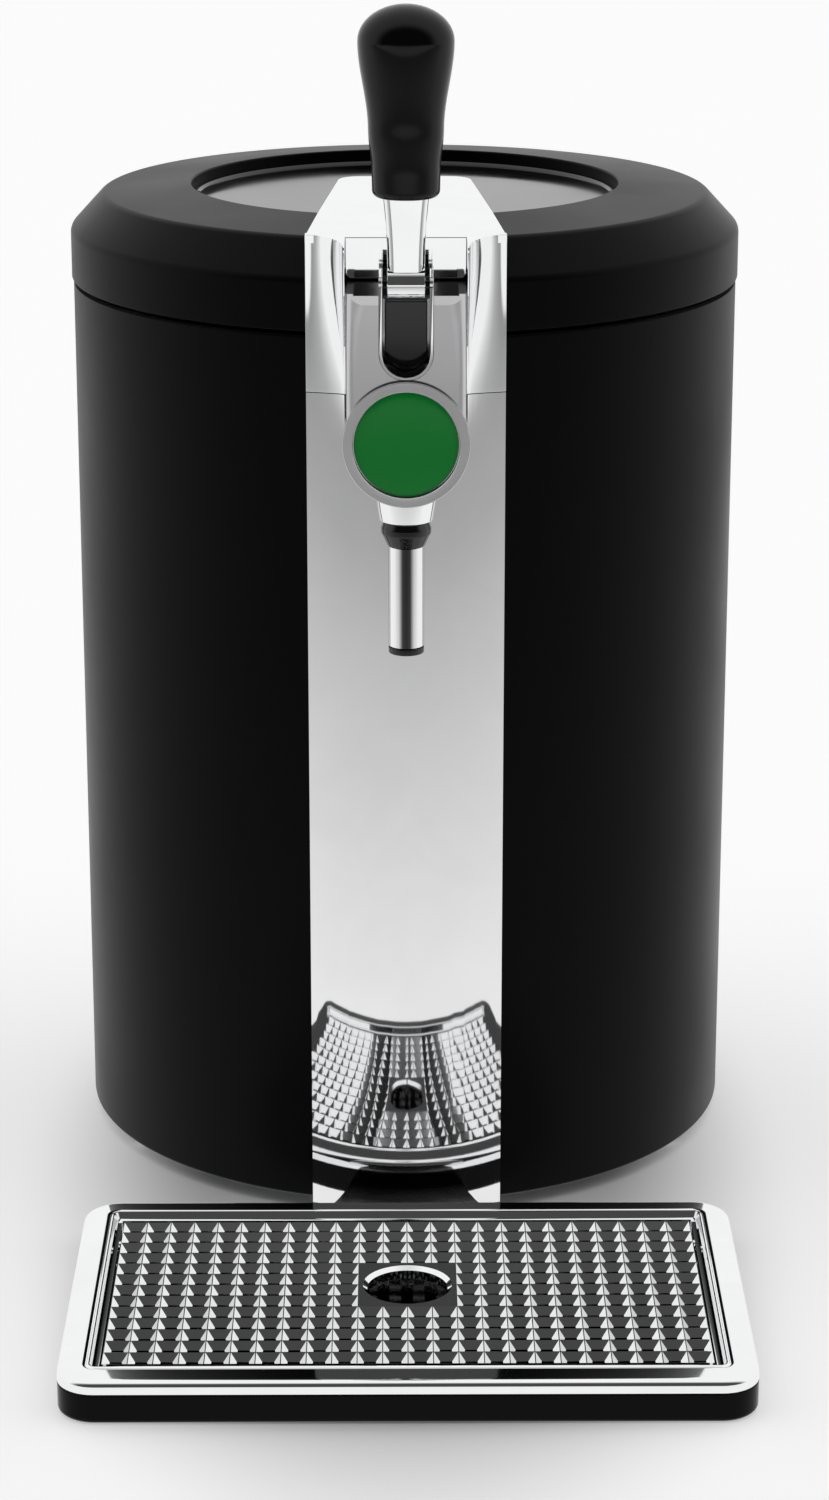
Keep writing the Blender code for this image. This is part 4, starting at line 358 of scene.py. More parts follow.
# %% Panel, recess and slots
panel = block("rear_recess", (-0.0475, 0.0475), (back(0.12155), back(0.1345)), (0.0165, 0.0615))
combine(panel, rod("trim", 0.1330, 0, 0.1, segments=256), "INTERSECT")
combine(panel, block("hollow", (-0.0455, 0.0455), (back(0.12455), back(0.14)), (0.0185, 0.0595)))
for row in range(6):
    height = 0.039 + (row - 2.5) * 0.006
    combine(panel, block("vent", (-0.011, 0.017), (back(0.12), back(0.126)),
                         (height - 0.0015, height + 0.0015)))
combine(panel, block("inlet_hole", (-0.0418, -0.0172), (back(0.12), back(0.126)), (0.0297, 0.0483)))
combine(panel, block("switch_hole", (0.0245, 0.0375), (back(0.12), back(0.126)), (0.0295, 0.0485)))
soften(panel, 0.0004)
settle(panel, "housing", "black_satin", "rear_panel")

# %% Inlet, switch frame and rocker keep their measured forms with softer edges
for node, title, body, width in (
    ("power_inlet", "mains_inlet", "housing", 0.0005), ("switch_bezel", "switch_frame", "housing", 0.0003),
    ("power_rocker", "switch_rocker", "rocker", 0.0003), ("hinge_base", "hinge_pad", "housing", 0.0004),
):
    settle(refine(node, title, width), body, slot_of[node], node)

# %% [markdown]
# ## The feet
# Four rubber feet lift the base by five millimetres, so that the fan can draw air from below. One is
# turned with a rounded edge and copied to the other three corners.

# %% One foot, four times
foot_places = {"front_left": (-1, -1), "front_right": (1, -1), "rear_left": (-1, 1), "rear_right": (1, 1)}
for label, (side, end) in foot_places.items():
    reach = 0.1020 * sin(radians(45))
    foot = turn_up("rubber_foot_" + label, [(0.0100, 0.0), (0.0120, 0.0020), (0.0120, 0.0056)],
                   (side * reach, back(end * reach)), segments=48, caps="start end")
    settle(foot, "housing", "rubber", "foot_" + label)

# %% [markdown]
# ## What shows when the lid is up
# Under the lid there is a black collar and the drawn aluminium tub that the keg stands in. Both are
# turned; the tub's floor meets its wall in a generous radius, as a drawn tub's does.

# %% Collar and tub
collar = turn_up("bay_collar", [
    (0.1305, 0.3527), (0.0985, 0.3527), (0.0985, 0.3505),
    (0.0898, 0.3505), (0.0898, 0.3445), (0.1305, 0.3445),
], segments=192, close=True)
round_rings(collar, [(0.1305, 0.3527), (0.0985, 0.3527)], 0.0008, 3)
settle(collar, "housing", "black_gloss", "top_collar")
tub = turn_up("keg_tub", [
    (0.0895, 0.0815), (0.0895, 0.3508), (0.0982, 0.3508),
    (0.0982, 0.3523), (0.0880, 0.3523), (0.0880, 0.0830),
], segments=192, caps="start end")
round_rings(tub, [(0.0880, 0.0830)], 0.0060, 6)
round_rings(tub, [(0.0880, 0.3523)], 0.0010, 3)
round_rings(tub, [(0.0895, 0.0815)], 0.0055, 4)
settle(tub, "housing", "aluminium", "keg_well")

# %% [markdown]
# ## The lid
# The lid's skirt continues the drum, then breaks into a chamfer and a nearly flat top that rises a
# little towards a round recess. It is turned as one ring whose creases are rounded by picking their
# rings. The hinge needs a notch at the rear, and the chrome tongue lies in a shallow bed at the front.

# %% Lid ring
lid = turn_up("lid_cover", [
    (0.1340, 0.3550), (0.1340, 0.3745), (0.1210, 0.3885), (0.0855, 0.3915), (0.0855, 0.3808),
    (0.0890, 0.3808), (0.0890, 0.3873), (0.11925, 0.38465), (0.1305, 0.37275), (0.1305, 0.3550),
], segments=256, close=True)
round_rings(lid, [(0.1340, 0.3745), (0.1210, 0.3885)], 0.0016, 5)
round_rings(lid, [(0.0855, 0.3915)], 0.0009, 4)
round_rings(lid, [(0.1340, 0.3550)], 0.0005, 2)
combine(lid, block("notch", (-0.0500, 0.0500), (back(0.1145), back(0.1343)), (0.3530, 0.3720)))

# %% [markdown]
# ## The chrome tongue
# The tongue tapers from the column's width at the front edge to a rounded end over the recess, where
# fingertips lift the lid. A block is cut across at the recess's rim, its two rear rows of points are
# drawn in, and the far corners are bevelled into arcs. A slightly larger copy cuts its bed in the lid.

# %% Tongue
def tapered_tongue(title, grow, low, high):
    made = block(title, (-HALF_WIDTH - grow, HALF_WIDTH + grow),
                 (back(-0.1331 - grow), back(0.0080 + grow)), (low, high))
    edit(made)
    bpy.ops.mesh.bisect(plane_co=(0, back(-0.0787), 0), plane_no=(0, 1, 0))
    for y, half in ((-0.0787, 0.0333), (0.0080 + grow, 0.0262)):
        pick("VERT", lambda vert: abs(vert.co.y - back(y)) < 0.0001)
        narrow = (half + grow) / (HALF_WIDTH + grow)
        bpy.ops.transform.resize(value=(narrow, 1, 1), center_override=(0, 0, 0))
    pick("EDGE", lambda edge: all(abs(vert.co.y - back(0.0080 + grow)) < 0.0001 for vert in edge.verts)
         and abs(edge.verts[0].co.x - edge.verts[1].co.x) < 0.0001)
    bpy.ops.mesh.bevel(offset=0.0085, segments=10, profile=0.5, affect="EDGES")
    bpy.ops.object.mode_set(mode="OBJECT")
    return made


combine(lid, tapered_tongue("bed", 0.0003, 0.3887, 0.3935))
combine(lid, block("front_bed", (-0.0375, 0.0375), (back(-0.1380), back(-0.1284)), (0.3887, 0.3930)))
settle(lid, "lid", "black_satin", "lid_ring", angle=28)
tongue = tapered_tongue("lid_tongue", 0, 0.3890, 0.3920)
soften(tongue, 0.0006, 3)
settle(tongue, "lid", "chrome", "lid_front_cap")

# %% [markdown]
# ## The recess
# The recess is a separate glossy dish. Its floor sits five millimetres down, with a narrow ledge
# round it, and the ledge's edges catch the thin bright rings that one sees from the front.

# %% Dish
dish = turn_up("lid_recess_dish", [
    (0.0825, 0.3860), (0.0835, 0.3870), (0.0852, 0.3870), (0.0852, 0.3808),
], segments=224, caps="start end")
round_rings(dish, [(0.0835, 0.3870), (0.0852, 0.3870)], 0.0004, 2)
settle(dish, "lid", "black_gloss", "lid_dish")

# %% [markdown]
# ## The cove
# Beside the tap, the column's flat face turns outwards into a hollow curve that grows deeper with
# height, first on the column itself and then, above the seam, on the lid's two cheeks. It is a quarter
# of an ellipse, flat where it leaves the face and upright at the tip. One formula gives that curve for
# any height, and both pieces use it, so they meet at the seam.

# %% One formula for column and cheeks
TIP, TIP_INNER, FACE_R, REACH = 0.0229, 0.0223, 0.1382, 0.1615


def on_round(radius, x):
    return -sqrt(radius**2 - x**2)


def cove(z, steps=24):
    share = min(max((z - 0.3110) / 0.0790, 0), 1) ** 1.5
    share = share * share * (3 - 2 * share)
    edge = on_round(FACE_R, HALF_WIDTH)
    points = []
    for step in range(steps + 1):
        angle = pi / 2 * step / steps
        x = HALF_WIDTH - (HALF_WIDTH - TIP) * sin(angle)
        flat = on_round(FACE_R, x)
        deep = edge - (REACH + edge) * (1 - cos(angle))
        points.append((x, flat + (deep - flat) * share))
    return points


# %% Column face: a channel bent round the drum
DRUM_R, INNER_HALF = 0.1336, 0.0357
column_sections = []
for height in [0.0050, 0.15, 0.30] + [0.311 + 0.022 * step / 22 for step in range(23)]:
    side = cove(height)
    across = [TIP_INNER * (1 - step / 12) for step in range(25)]
    front = [(x, on_round(FACE_R, x)) for x in across]
    outer = [(HALF_WIDTH, on_round(DRUM_R, HALF_WIDTH))] + side + front
    outer += [(-x, y) for x, y in reversed(side)] + [(-HALF_WIDTH, on_round(DRUM_R, HALF_WIDTH))]
    across = [INNER_HALF * (step / 15 - 1) for step in range(31)]
    inner = [(-INNER_HALF, on_round(DRUM_R, INNER_HALF))]
    inner += [(x, on_round(0.1367, x)) for x in across]
    inner.append((INNER_HALF, on_round(DRUM_R, INNER_HALF)))
    column_sections.append([(x, back(y), height) for x, y in outer + inner])
column = loft("column_face", column_sections)
edit(column)
pick("EDGE", lambda edge: all(abs(abs(vert.co.x) - HALF_WIDTH) < 0.00002 for vert in edge.verts)
     and all(vert.co.y < back(-0.1300) for vert in edge.verts) and edge.calc_length() > 0.0005
     and abs(edge.verts[0].co.z - edge.verts[1].co.z) > 0.0005)
bpy.ops.mesh.bevel(offset=0.0005, segments=3, profile=0.5, affect="EDGES")
settle(column, "housing", "polished_steel", "column_panel", angle=30)

# %% [markdown]
# ## The cheeks and the fascia
# Above the seam the same curve belongs to the lid's chrome cap. Each cheek is skinned upwards from the
# seam, with a flat inner face that slides past the tap as the lid opens. The fascia between them is a
# thin plate whose lower corners are rounded, and the deck closes the top in front of the tongue.

# %% One cheek, and its mirror
levels = [0.3333 + 0.0587 * step / 30 for step in range(31)]
cheek_sections = []
for height in levels:
    outside = cove(height)
    tip_y = outside[-1][1]
    inside = [(TIP_INNER, tip_y)]
    rear = [(TIP_INNER + (HALF_WIDTH - TIP_INNER) * step / 6, 0) for step in range(7)]
    rear = [(x, on_round(0.1343, x)) for x, _ in rear]
    cheek_sections.append([(x, back(y), height) for x, y in outside + inside + rear])
cheek = loft("cap_cheek_right", cheek_sections)
soften(cheek, 0.0005, 3, 40)
cheek_left = mirrored_copy(cheek, "cap_cheek_left")
settle(cheek, "lid", "chrome", "lid_front_cap", angle=34)
settle(cheek_left, "lid", "chrome", "lid_front_cap", angle=34)

# %% Fascia and deck
fascia = corner_round([(-TIP_INNER, 0.3767, 0.0024), (TIP_INNER, 0.3767, 0.0024),
                       (TIP_INNER, 0.3920), (-TIP_INNER, 0.3920)], 8)
plate = loft("cap_fascia", [[(p.x, back(y), p.y) for p in fascia] for y in (-0.1382, -0.1360)])
soften(plate, 0.0004, 2)
settle(plate, "lid", "chrome", "lid_front_cap")
deck_half = [(HALF_WIDTH, -0.1331), (TIP_INNER, -0.1366)]
deck = deck_half + [(-x, y) for x, y in reversed(deck_half)]
deck_top = loft("cap_deck", [[(x, back(y), z) for x, y in deck] for z in (0.3890, 0.3919)])
settle(deck_top, "lid", "chrome", "lid_front_cap")

# %% [markdown]
# ## The tap housing
# The housing is a die-cast block, straight at the sides and half round below, with softly rounded front
# edges and a chamfer along its upper edge. Its outline is skinned forwards and drawn in towards the
# front along a quarter circle, while its top sinks over the last three millimetres. The pocket for the
# beer line and the slot for the yoke are cut afterwards.

# %% Housing body
HOUSING_R, ROUND_Z, HOUSING_TOP, STRAIGHT = 0.0220, 0.3212, 0.3757, 0.0545


def housing_outline():
    points = [(-HOUSING_R, HOUSING_TOP - STRAIGHT * step / 24) for step in range(25)]
    for step in range(1, 32):
        angle = pi + pi * step / 32
        points.append((HOUSING_R * cos(angle), ROUND_Z + HOUSING_R * sin(angle)))
    points += [(HOUSING_R, HOUSING_TOP - STRAIGHT * step / 24) for step in range(24, -1, -1)]
    return points


housing_sections = [[(x, back(-0.1385), z) for x, z in housing_outline()]]
for step in range(9):
    angle = pi / 2 * step / 8
    ring = []
    for x, z in housing_outline():
        blend = min(max((z - 0.335) / 0.0407, 0), 1)
        edge = 0.0034 + 0.0034 * blend * blend
        behind = edge * (1 - sin(angle))
        sink = 0.0034 * max(0, 1 - behind / 0.0033) * min(max((z - 0.3645) / 0.0112, 0), 1)
        scale = edge * (1 - cos(angle))
        if z > ROUND_Z:
            point = (x - scale * (1 if x > 0 else -1), z - sink)
        else:
            out = Vector((x, z - ROUND_Z)).normalized()
            point = (x - out.x * scale, z - out.y * scale)
        ring.append((point[0], back(-0.1680 + behind), point[1]))
    housing_sections.append(ring)
housing = loft("tap_body", housing_sections)
combine(housing, block("pocket", (-0.0192, 0.0192), (back(-0.1652), back(-0.1413)), (0.3420, 0.3770)))


def upright_slot(half, centre_z, top, steps=20):
    points = [(half * cos(pi + pi * step / steps), centre_z + half * sin(pi + pi * step / steps))
              for step in range(steps + 1)]
    return points + [(half, top), (-half, top)]


slot_cut = upright_slot(0.0100, 0.3545, 0.3770)
combine(housing, loft("slot", [[(x, back(y), z) for x, z in slot_cut] for y in (-0.1690, -0.1640)]))
combine(housing, rod("spout_seat", 0.0121, 0.2900, 0.3143, (0, back(-0.1560)), segments=64))
settle(housing, "housing", "satin_silver", "tap_housing", angle=35)

# %% [markdown]
# ## The yoke, the valve body and the lever's pin
# A thin bright frame lines the slot and rises above it into two ears that carry the lever's pin. Behind
# it sits the black valve body. The frame is an outline with a wall, so it is skinned from front to back.

# %% Yoke
outside = upright_slot(0.0098, 0.3545, 0.3850, 24)
inside = upright_slot(0.0088, 0.3545, 0.3850, 24)
ring = outside[:-1] + [(0.0088, 0.3850)] + list(reversed(inside[:-2]))
ring += [(-0.0088, 0.3850), (-0.0098, 0.3850)]
yoke = loft("tap_frame", [[(x, back(y), z) for x, z in ring] for y in (-0.1683, -0.1533)])
for front_y, rear_y in ((-0.1690, -0.1661), (-0.1554, -0.1520)):
    combine(yoke, block("ear_trim", (-0.02, 0.02), (back(front_y), back(rear_y)), (0.3790, 0.3860)))
soften(yoke, 0.00025, 2)
settle(yoke, "housing", "chrome", "tap_yoke", angle=35)

# %% Valve body and pin
valve = corner_round([(-0.0078, 0.3710), (-0.0078, 0.3465, 0.0070),
                      (0.0078, 0.3465, 0.0070), (0.0078, 0.3710)], 12)
body_piece = loft("valve_body", [[(p.x, back(y), p.y) for p in valve] for y in (-0.1520, -0.1416)])
soften(body_piece, 0.0006, 3)
settle(body_piece, "housing", "black_gloss", "tap_core")
LEVER_Y, LEVER_Z = back(-0.1580), 0.3785
pin = rod("lever_axle", 0.0018, -0.0100, 0.0100, (LEVER_Y, LEVER_Z), "X", 40)
settle(pin, "housing", "polished_steel", "lever_pin")

# %% [markdown]
# ## The badge
# The badge is a ring with a closed back and a domed disc in it. It is bare green enamel here. The
# ring's outer edge is rounded, and a fine bright lip runs round the disc.

# %% Ring and disc
badge_ring = turn_up("badge_bezel", [
    (0.0234, -0.1683 + DRUM_Y), (0.0234, -0.1705 + DRUM_Y), (0.0202, -0.1704 + DRUM_Y),
    (0.0196, -0.1704 + DRUM_Y), (0.0195, -0.1687 + DRUM_Y),
], (0, ROUND_Z), "Y", 128, caps="start end")
round_rings(badge_ring, [(0.0234, -0.1705 + DRUM_Y)], 0.0004, 3)
round_rings(badge_ring, [(0.0196, -0.1704 + DRUM_Y)], 0.0002, 2)
settle(badge_ring, "housing", "satin_silver", "badge_ring", angle=40)
badge_steps = [(0.0192, -0.1688 + DRUM_Y), (0.0192, -0.1694 + DRUM_Y)]
badge_steps += [(0.0192 * cos(radians(angle)), -0.1694 - 0.0007 * sin(radians(angle)) + DRUM_Y)
                for angle in (15, 30, 45, 60, 72, 82)]
disc = turn_up("badge_face", badge_steps, (0, ROUND_Z), "Y", 128, caps="start end")
settle(disc, "housing", "badge_green", "badge_disc", angle=40)

# %% [markdown]
# ## The lever and its grip
# The chrome stem is flat in front with full round edges, and flares a little towards the grip. The grip
# is turned from a rounded foot through a slim waist to a full head, then squeezed slightly front to
# back. Its curve is a short list of sizes with smooth steps between them.

# %% Stem and hub
stem_sections = []
for step in range(13):
    share = step / 12
    half = 0.0067 + 0.0019 * share**2
    depth = 0.0042
    corner = 0.0030
    outline = corner_round([(-half, -depth, corner), (half, -depth, corner), (half, depth, corner),
                            (-half, depth, corner)], 6)
    stem_sections.append([(p.x, back(p.y - 0.1580), LEVER_Z + 0.0343 * share) for p in outline])
stem = loft("lever_stem", stem_sections)
hub = rod("hub", 0.0062, -0.0067, 0.0067, (LEVER_Y, LEVER_Z), "X", 56)
combine(stem, hub, "UNION")
combine(stem, rod("spigot", 0.0040, 0.4100, 0.4308, (0, LEVER_Y), segments=40), "UNION")
combine(stem, rod("axle_hole", 0.0021, -0.02, 0.02, (LEVER_Y, LEVER_Z), "X", 40))
settle(stem, "lever", "chrome", "tap_lever", angle=35)

# %% Ribbed bushes on either side of the hub
for label, side in (("left", -1), ("right", 1)):
    low, high = sorted((side * 0.0069, side * 0.0086))
    bush = turn_up("lever_bush_" + label, [(0.0056, low), (0.0056, high)], (LEVER_Y, LEVER_Z), "X", 48,
                   caps="start end")
    across = (low + high) / 2
    bpy.ops.mesh.bisect(plane_co=(across, 0, 0), plane_no=(1, 0, 0))
    pick("VERT", lambda vert: round(atan2(vert.co.z - LEVER_Z, vert.co.y - LEVER_Y) / (2 * pi / 48)) % 2 == 0)
    bpy.ops.transform.resize(value=(1, 0.88, 0.88), center_override=(across, LEVER_Y, LEVER_Z))
    settle(bush, "lever", "black_gloss", angle=10)

# %% Grip
def smooth(share):
    return share * share * (3 - 2 * share)


grip_steps = [(0.0096, 0.4098)]
for step in range(1, 9):
    angle = pi / 2 * step / 8
    grip_steps.append((0.0096 + 0.0027 * sin(angle), 0.4125 - 0.0027 * cos(angle)))
grip_steps.append((0.0124, 0.4190))
grip_steps += [(0.0124 + 0.0013 * smooth(step / 8), 0.4190 + 0.0155 * step / 8) for step in range(1, 9)]
grip_steps += [(0.0137 + 0.0037 * smooth(step / 16), 0.4345 + 0.0310 * step / 16) for step in range(1, 17)]
grip_steps += [(0.0174 * cos(radians(angle)), 0.4655 + 0.0130 * sin(radians(angle)))
               for angle in (8, 16, 24, 32, 40, 48, 56, 64, 71, 77, 82, 86)]
grip = turn_up("tap_grip", grip_steps, (0, LEVER_Y), segments=96, caps="start end")
bpy.ops.transform.resize(value=(1, 0.92, 1), center_override=(0, LEVER_Y, 0))
combine(grip, block("socket", (-0.0089, 0.0089), (back(-0.1625), back(-0.1535)), (0.4095, 0.4131)))
combine(grip, rod("bore", 0.0043, 0.4120, 0.4311, (0, LEVER_Y), segments=40))
settle(grip, "lever", "black_gloss", "tap_handle", angle=50, look="grip_black")

# %% [markdown]
# ## The spout
# Below the badge a tapered holder, a black collar, a steel tube and a black tip hang in one line. All
# four are turned about the same axis, each with small rounded edges, because it is the glints on those
# edges that separate them in a photograph.

# %% Four turned pieces
SPOUT = (0, back(-0.1560))
holder = turn_up("spout_cone", [(0.0118, 0.3140), (0.0118, 0.3020), (0.0099, 0.2900), (0.0059, 0.2900),
                                (0.0059, 0.3140)], SPOUT, segments=96, close=True)
round_rings(holder, [(0.0099, 0.2900)], 0.0004, 3)
settle(holder, "housing", "chrome", "spout_holder")
nut = turn_up("spout_nut", [(0.0084, 0.2897), (0.0093, 0.2872), (0.0093, 0.2852), (0.0071, 0.2805),
                            (0.0059, 0.2805), (0.0059, 0.2897)], SPOUT, segments=96, close=True)
round_rings(nut, [(0.0093, 0.2872), (0.0093, 0.2852), (0.0084, 0.2897), (0.0071, 0.2805)], 0.0003, 2)
settle(nut, "housing", "black_gloss", "spout_collar")
PIPE_R = 0.00665
pipe = turn_up("spout_pipe", [(PIPE_R, 0.2802), (0.0056, 0.2802), (0.0056, 0.3050), (0.0046, 0.3050),
                              (0.0046, 0.2420), (PIPE_R, 0.2420)], SPOUT, segments=96, close=True)
round_rings(pipe, [(PIPE_R, 0.2802), (PIPE_R, 0.2420)], 0.0002, 2)
# The tube's finish carries a painted reflection: an upright dark streak between bright ones.
settle(pipe, "housing", "polished_steel", "spout_tube", look="spout_steel_painted_reflection")
nozzle = turn_up("spout_nozzle", [(PIPE_R, 0.2417), (0.0043, 0.2417), (0.0043, 0.2477), (0.0034, 0.2477),
                                  (0.0034, 0.2391), (PIPE_R, 0.2391)], SPOUT, segments=96, close=True)
round_rings(nozzle, [(PIPE_R, 0.2391), (PIPE_R, 0.2417)], 0.0005, 3)
settle(nozzle, "housing", "black_gloss", "spout_tip")

# %% [markdown]
# ## The drip tray
# The tray is a shallow black basin with a chrome rim round it and a grille of small inverted pyramids
# in the rim. Basin and rim are skinned from rounded rectangles, each a little further in or up than the
# one before, so that every corner keeps the same centre.

# %% Tray outlines
def tray_loop(inset, z, steps=12):
    half = 0.1250 - inset
    corner = max(0.0140 - inset, 0.0006)
    outline = corner_round([(-half, -0.3124 + inset, corner), (half, -0.3124 + inset, corner),
                            (half, -0.1570 - inset, corner), (-half, -0.1570 - inset, corner)], steps)
    return [(p.x, back(p.y), z) for p in outline]


basin = loft("tray_basin", [
    tray_loop(0.0020, 0.0), tray_loop(0.0010, 0.0003), tray_loop(0.0003, 0.0010), tray_loop(0, 0.0020),
    tray_loop(0, 0.0108), tray_loop(0.0005, 0.0113), tray_loop(0.0030, 0.0113), tray_loop(0.0030, 0.0050),
    tray_loop(0.0040, 0.0030), tray_loop(0.0060, 0.0020),
])
settle(basin, "tray", "black_gloss", "tray_base", angle=30, look="tray_black")
shelf = corner_round([(-0.0300, -0.1160, 0.0070), (-0.0300, -0.1568),
                      (0.0300, -0.1568), (0.0300, -0.1160, 0.0070)], 8)
shelf = loft("tray_shelf", [[(p.x, back(p.y), z) for p in shelf] for z in (0.0006, 0.0047)])
soften(shelf, 0.0008, 3)
settle(shelf, "tray", "black_gloss", "tray_base", look="satin_silver")

# %% Rim
rim_profile = [
    (0, 0.0116), (0, 0.0142), (0.0003, 0.0150), (0.0009, 0.0157), (0.0018, 0.0162), (0.0030, 0.0165),
    (0.0090, 0.0169), (0.0097, 0.0168), (0.0101, 0.0164), (0.0105, 0.0164), (0.0109, 0.0168),
    (0.0113, 0.0170), (0.0117, 0.0169), (0.0132, 0.0147), (0.0136, 0.0146), (0.0148, 0.0146),
    (0.0148, 0.0102), (0.0180, 0.0102), (0.0180, 0.0090), (0.0033, 0.0090), (0.0033, 0.0116),
]
rim = loft("tray_rim_trim", [tray_loop(inset, z) for inset, z in rim_profile], loop=True)
settle(rim, "tray", "chrome", "tray_rim", angle=40)

# %% [markdown]
# ## The grille
# The grille is the piece that the eye stays on. Each cell is pressed downwards with four sloping sides
# round an upright hole, and neighbours meet in narrow ridges. One cell is modelled from a plane by
# insets and an extrusion, repeated across and along, and the cells over the plain plate are then taken
# out. The slopes that face sideways catch the bright walls of the room, and the others stay dark.

# %% One cell, repeated
CELL_X, CELL_Y, COLUMNS, ROWS = 0.0091083, 0.00932, 24, 13
TOP, BOTTOM = 0.0150, 0.0105
MIDDLE_Y = back(-0.2347)
pick_nothing()
corner_x = -CELL_X * (COLUMNS - 1) / 2
corner_y = MIDDLE_Y - CELL_Y * (ROWS - 1) / 2
bpy.ops.mesh.primitive_plane_add(size=1, location=(corner_x, corner_y, TOP))
grille = bpy.context.object
grille.name = grille.data.name = "grille_cells"
grille.scale = (CELL_X, CELL_Y, 1)
bpy.ops.object.transform_apply(location=True, rotation=True, scale=True)
edit(grille)
bpy.ops.mesh.select_mode(type="FACE")
bpy.ops.mesh.inset(thickness=0.00018, depth=0)
bpy.ops.mesh.inset(thickness=0.0022, depth=-0.0027)
bpy.ops.mesh.extrude_region_move(TRANSFORM_OT_translate={"value": (0, 0, BOTTOM + 0.0027 - TOP)})
bpy.ops.mesh.delete(type="FACE")
bpy.ops.object.mode_set(mode="OBJECT")
print("one cell has", len(grille.data.polygons), "faces")
for label, count, offset in (("across", COLUMNS, (CELL_X, 0, 0)), ("along", ROWS, (0, CELL_Y, 0))):
    hold(grille)
    array = grille.modifiers.new(label, "ARRAY")
    array.count = count
    array.use_relative_offset = False
    array.use_constant_offset = True
    array.constant_offset_displace = offset
    array.use_merge_vertices = True
    array.merge_threshold = 0.00001
    bpy.ops.object.modifier_apply(modifier=label)

# %% Take out the cells of the plain plate, and set the plate in
PLATE_LOW = MIDDLE_Y + CELL_Y * (5 - ROWS / 2)
PLATE_HIGH = PLATE_LOW + 4 * CELL_Y
edit(grille)
bpy.ops.mesh.select_mode(type="FACE")
pick("FACE", lambda face: abs(face.calc_center_median().x) < 2 * CELL_X
     and PLATE_LOW < face.calc_center_median().y < PLATE_HIGH)
bpy.ops.mesh.delete(type="FACE")
bpy.ops.object.mode_set(mode="OBJECT")
settle(grille, "grille", "chrome", "drip_grille", angle=20)
plate = block("grille_plate", (-2 * CELL_X, 2 * CELL_X), (PLATE_LOW, PLATE_HIGH), (BOTTOM, TOP))
HOLE = (0, (PLATE_LOW + PLATE_HIGH) / 2)
combine(plate, turn_up("drain", [(0.0168, TOP + 0.0002), (0.0150, TOP - 0.0014), (0.0148, BOTTOM - 0.001)],
                       HOLE, segments=96, caps="start end"))
settle(plate, "grille", "chrome", "drip_grille", angle=30)

# %% [markdown]
# ## Finishes
# A finish is one Principled shader and a little detail that changes over the surface. Detail that more
# than one finish needs is made once as a node group with its own knobs: here the pores of a coated or
# moulded skin, a slow drift in gloss, and the faint smears that hands and a wiping cloth leave.

# %% The skin group
def new_group(title, inputs, outputs):
    group = bpy.data.node_groups.new(title, "ShaderNodeTree")
    for label, kind, value in inputs:
        socket = group.interface.new_socket(label, in_out="INPUT", socket_type=kind)
        if value is not None:
            socket.default_value = value
    for label, kind in outputs:
        group.interface.new_socket(label, in_out="OUTPUT", socket_type=kind)
    return group, group.nodes.new("NodeGroupInput"), group.nodes.new("NodeGroupOutput")


def add(tree, kind, **settings):
    node = tree.nodes.new(kind)
    for key, value in settings.items():
        setattr(node, key, value)
    return node


skin, skin_in, skin_out = new_group(
    "handled_skin",
    [("Vector", "NodeSocketVector", None), ("Grain Scale", "NodeSocketFloat", 900.0),
     ("Roughness", "NodeSocketFloat", 0.4), ("Drift", "NodeSocketFloat", 0.05)],
    [("Height", "NodeSocketFloat"), ("Roughness", "NodeSocketFloat"), ("Smear", "NodeSocketFloat")],
)
pores = add(skin, "ShaderNodeTexNoise")
pores.inputs["Detail"].default_value = 2
clouds = add(skin, "ShaderNodeTexNoise")
clouds.inputs["Scale"].default_value = 9
clouds.inputs["Detail"].default_value = 5
wipes = add(skin, "ShaderNodeTexNoise")
wipes.inputs["Scale"].default_value = 26
wipes.inputs["Detail"].default_value = 4
wipes.inputs["Distortion"].default_value = 1.4
drift = add(skin, "ShaderNodeMapRange")
drift.inputs["From Min"].default_value = 0.35
drift.inputs["From Max"].default_value = 0.65
drift.inputs["To Min"].default_value = -1
drift.inputs["To Max"].default_value = 1
centred = add(skin, "ShaderNodeMath", operation="MULTIPLY_ADD")
for source, target in (
    (skin_in.outputs["Vector"], pores.inputs["Vector"]),
    (skin_in.outputs["Vector"], clouds.inputs["Vector"]),
    (skin_in.outputs["Vector"], wipes.inputs["Vector"]),
    (skin_in.outputs["Grain Scale"], pores.inputs["Scale"]),
    (clouds.outputs["Fac"], drift.inputs["Value"]),
    (drift.outputs["Result"], centred.inputs[0]),
    (skin_in.outputs["Drift"], centred.inputs[1]),
    (skin_in.outputs["Roughness"], centred.inputs[2]),
    (centred.outputs["Value"], skin_out.inputs["Roughness"]),
    (pores.outputs["Fac"], skin_out.inputs["Height"]),
    (wipes.outputs["Fac"], skin_out.inputs["Smear"]),
):
    skin.links.new(source, target)
print("made the node group", skin.name)

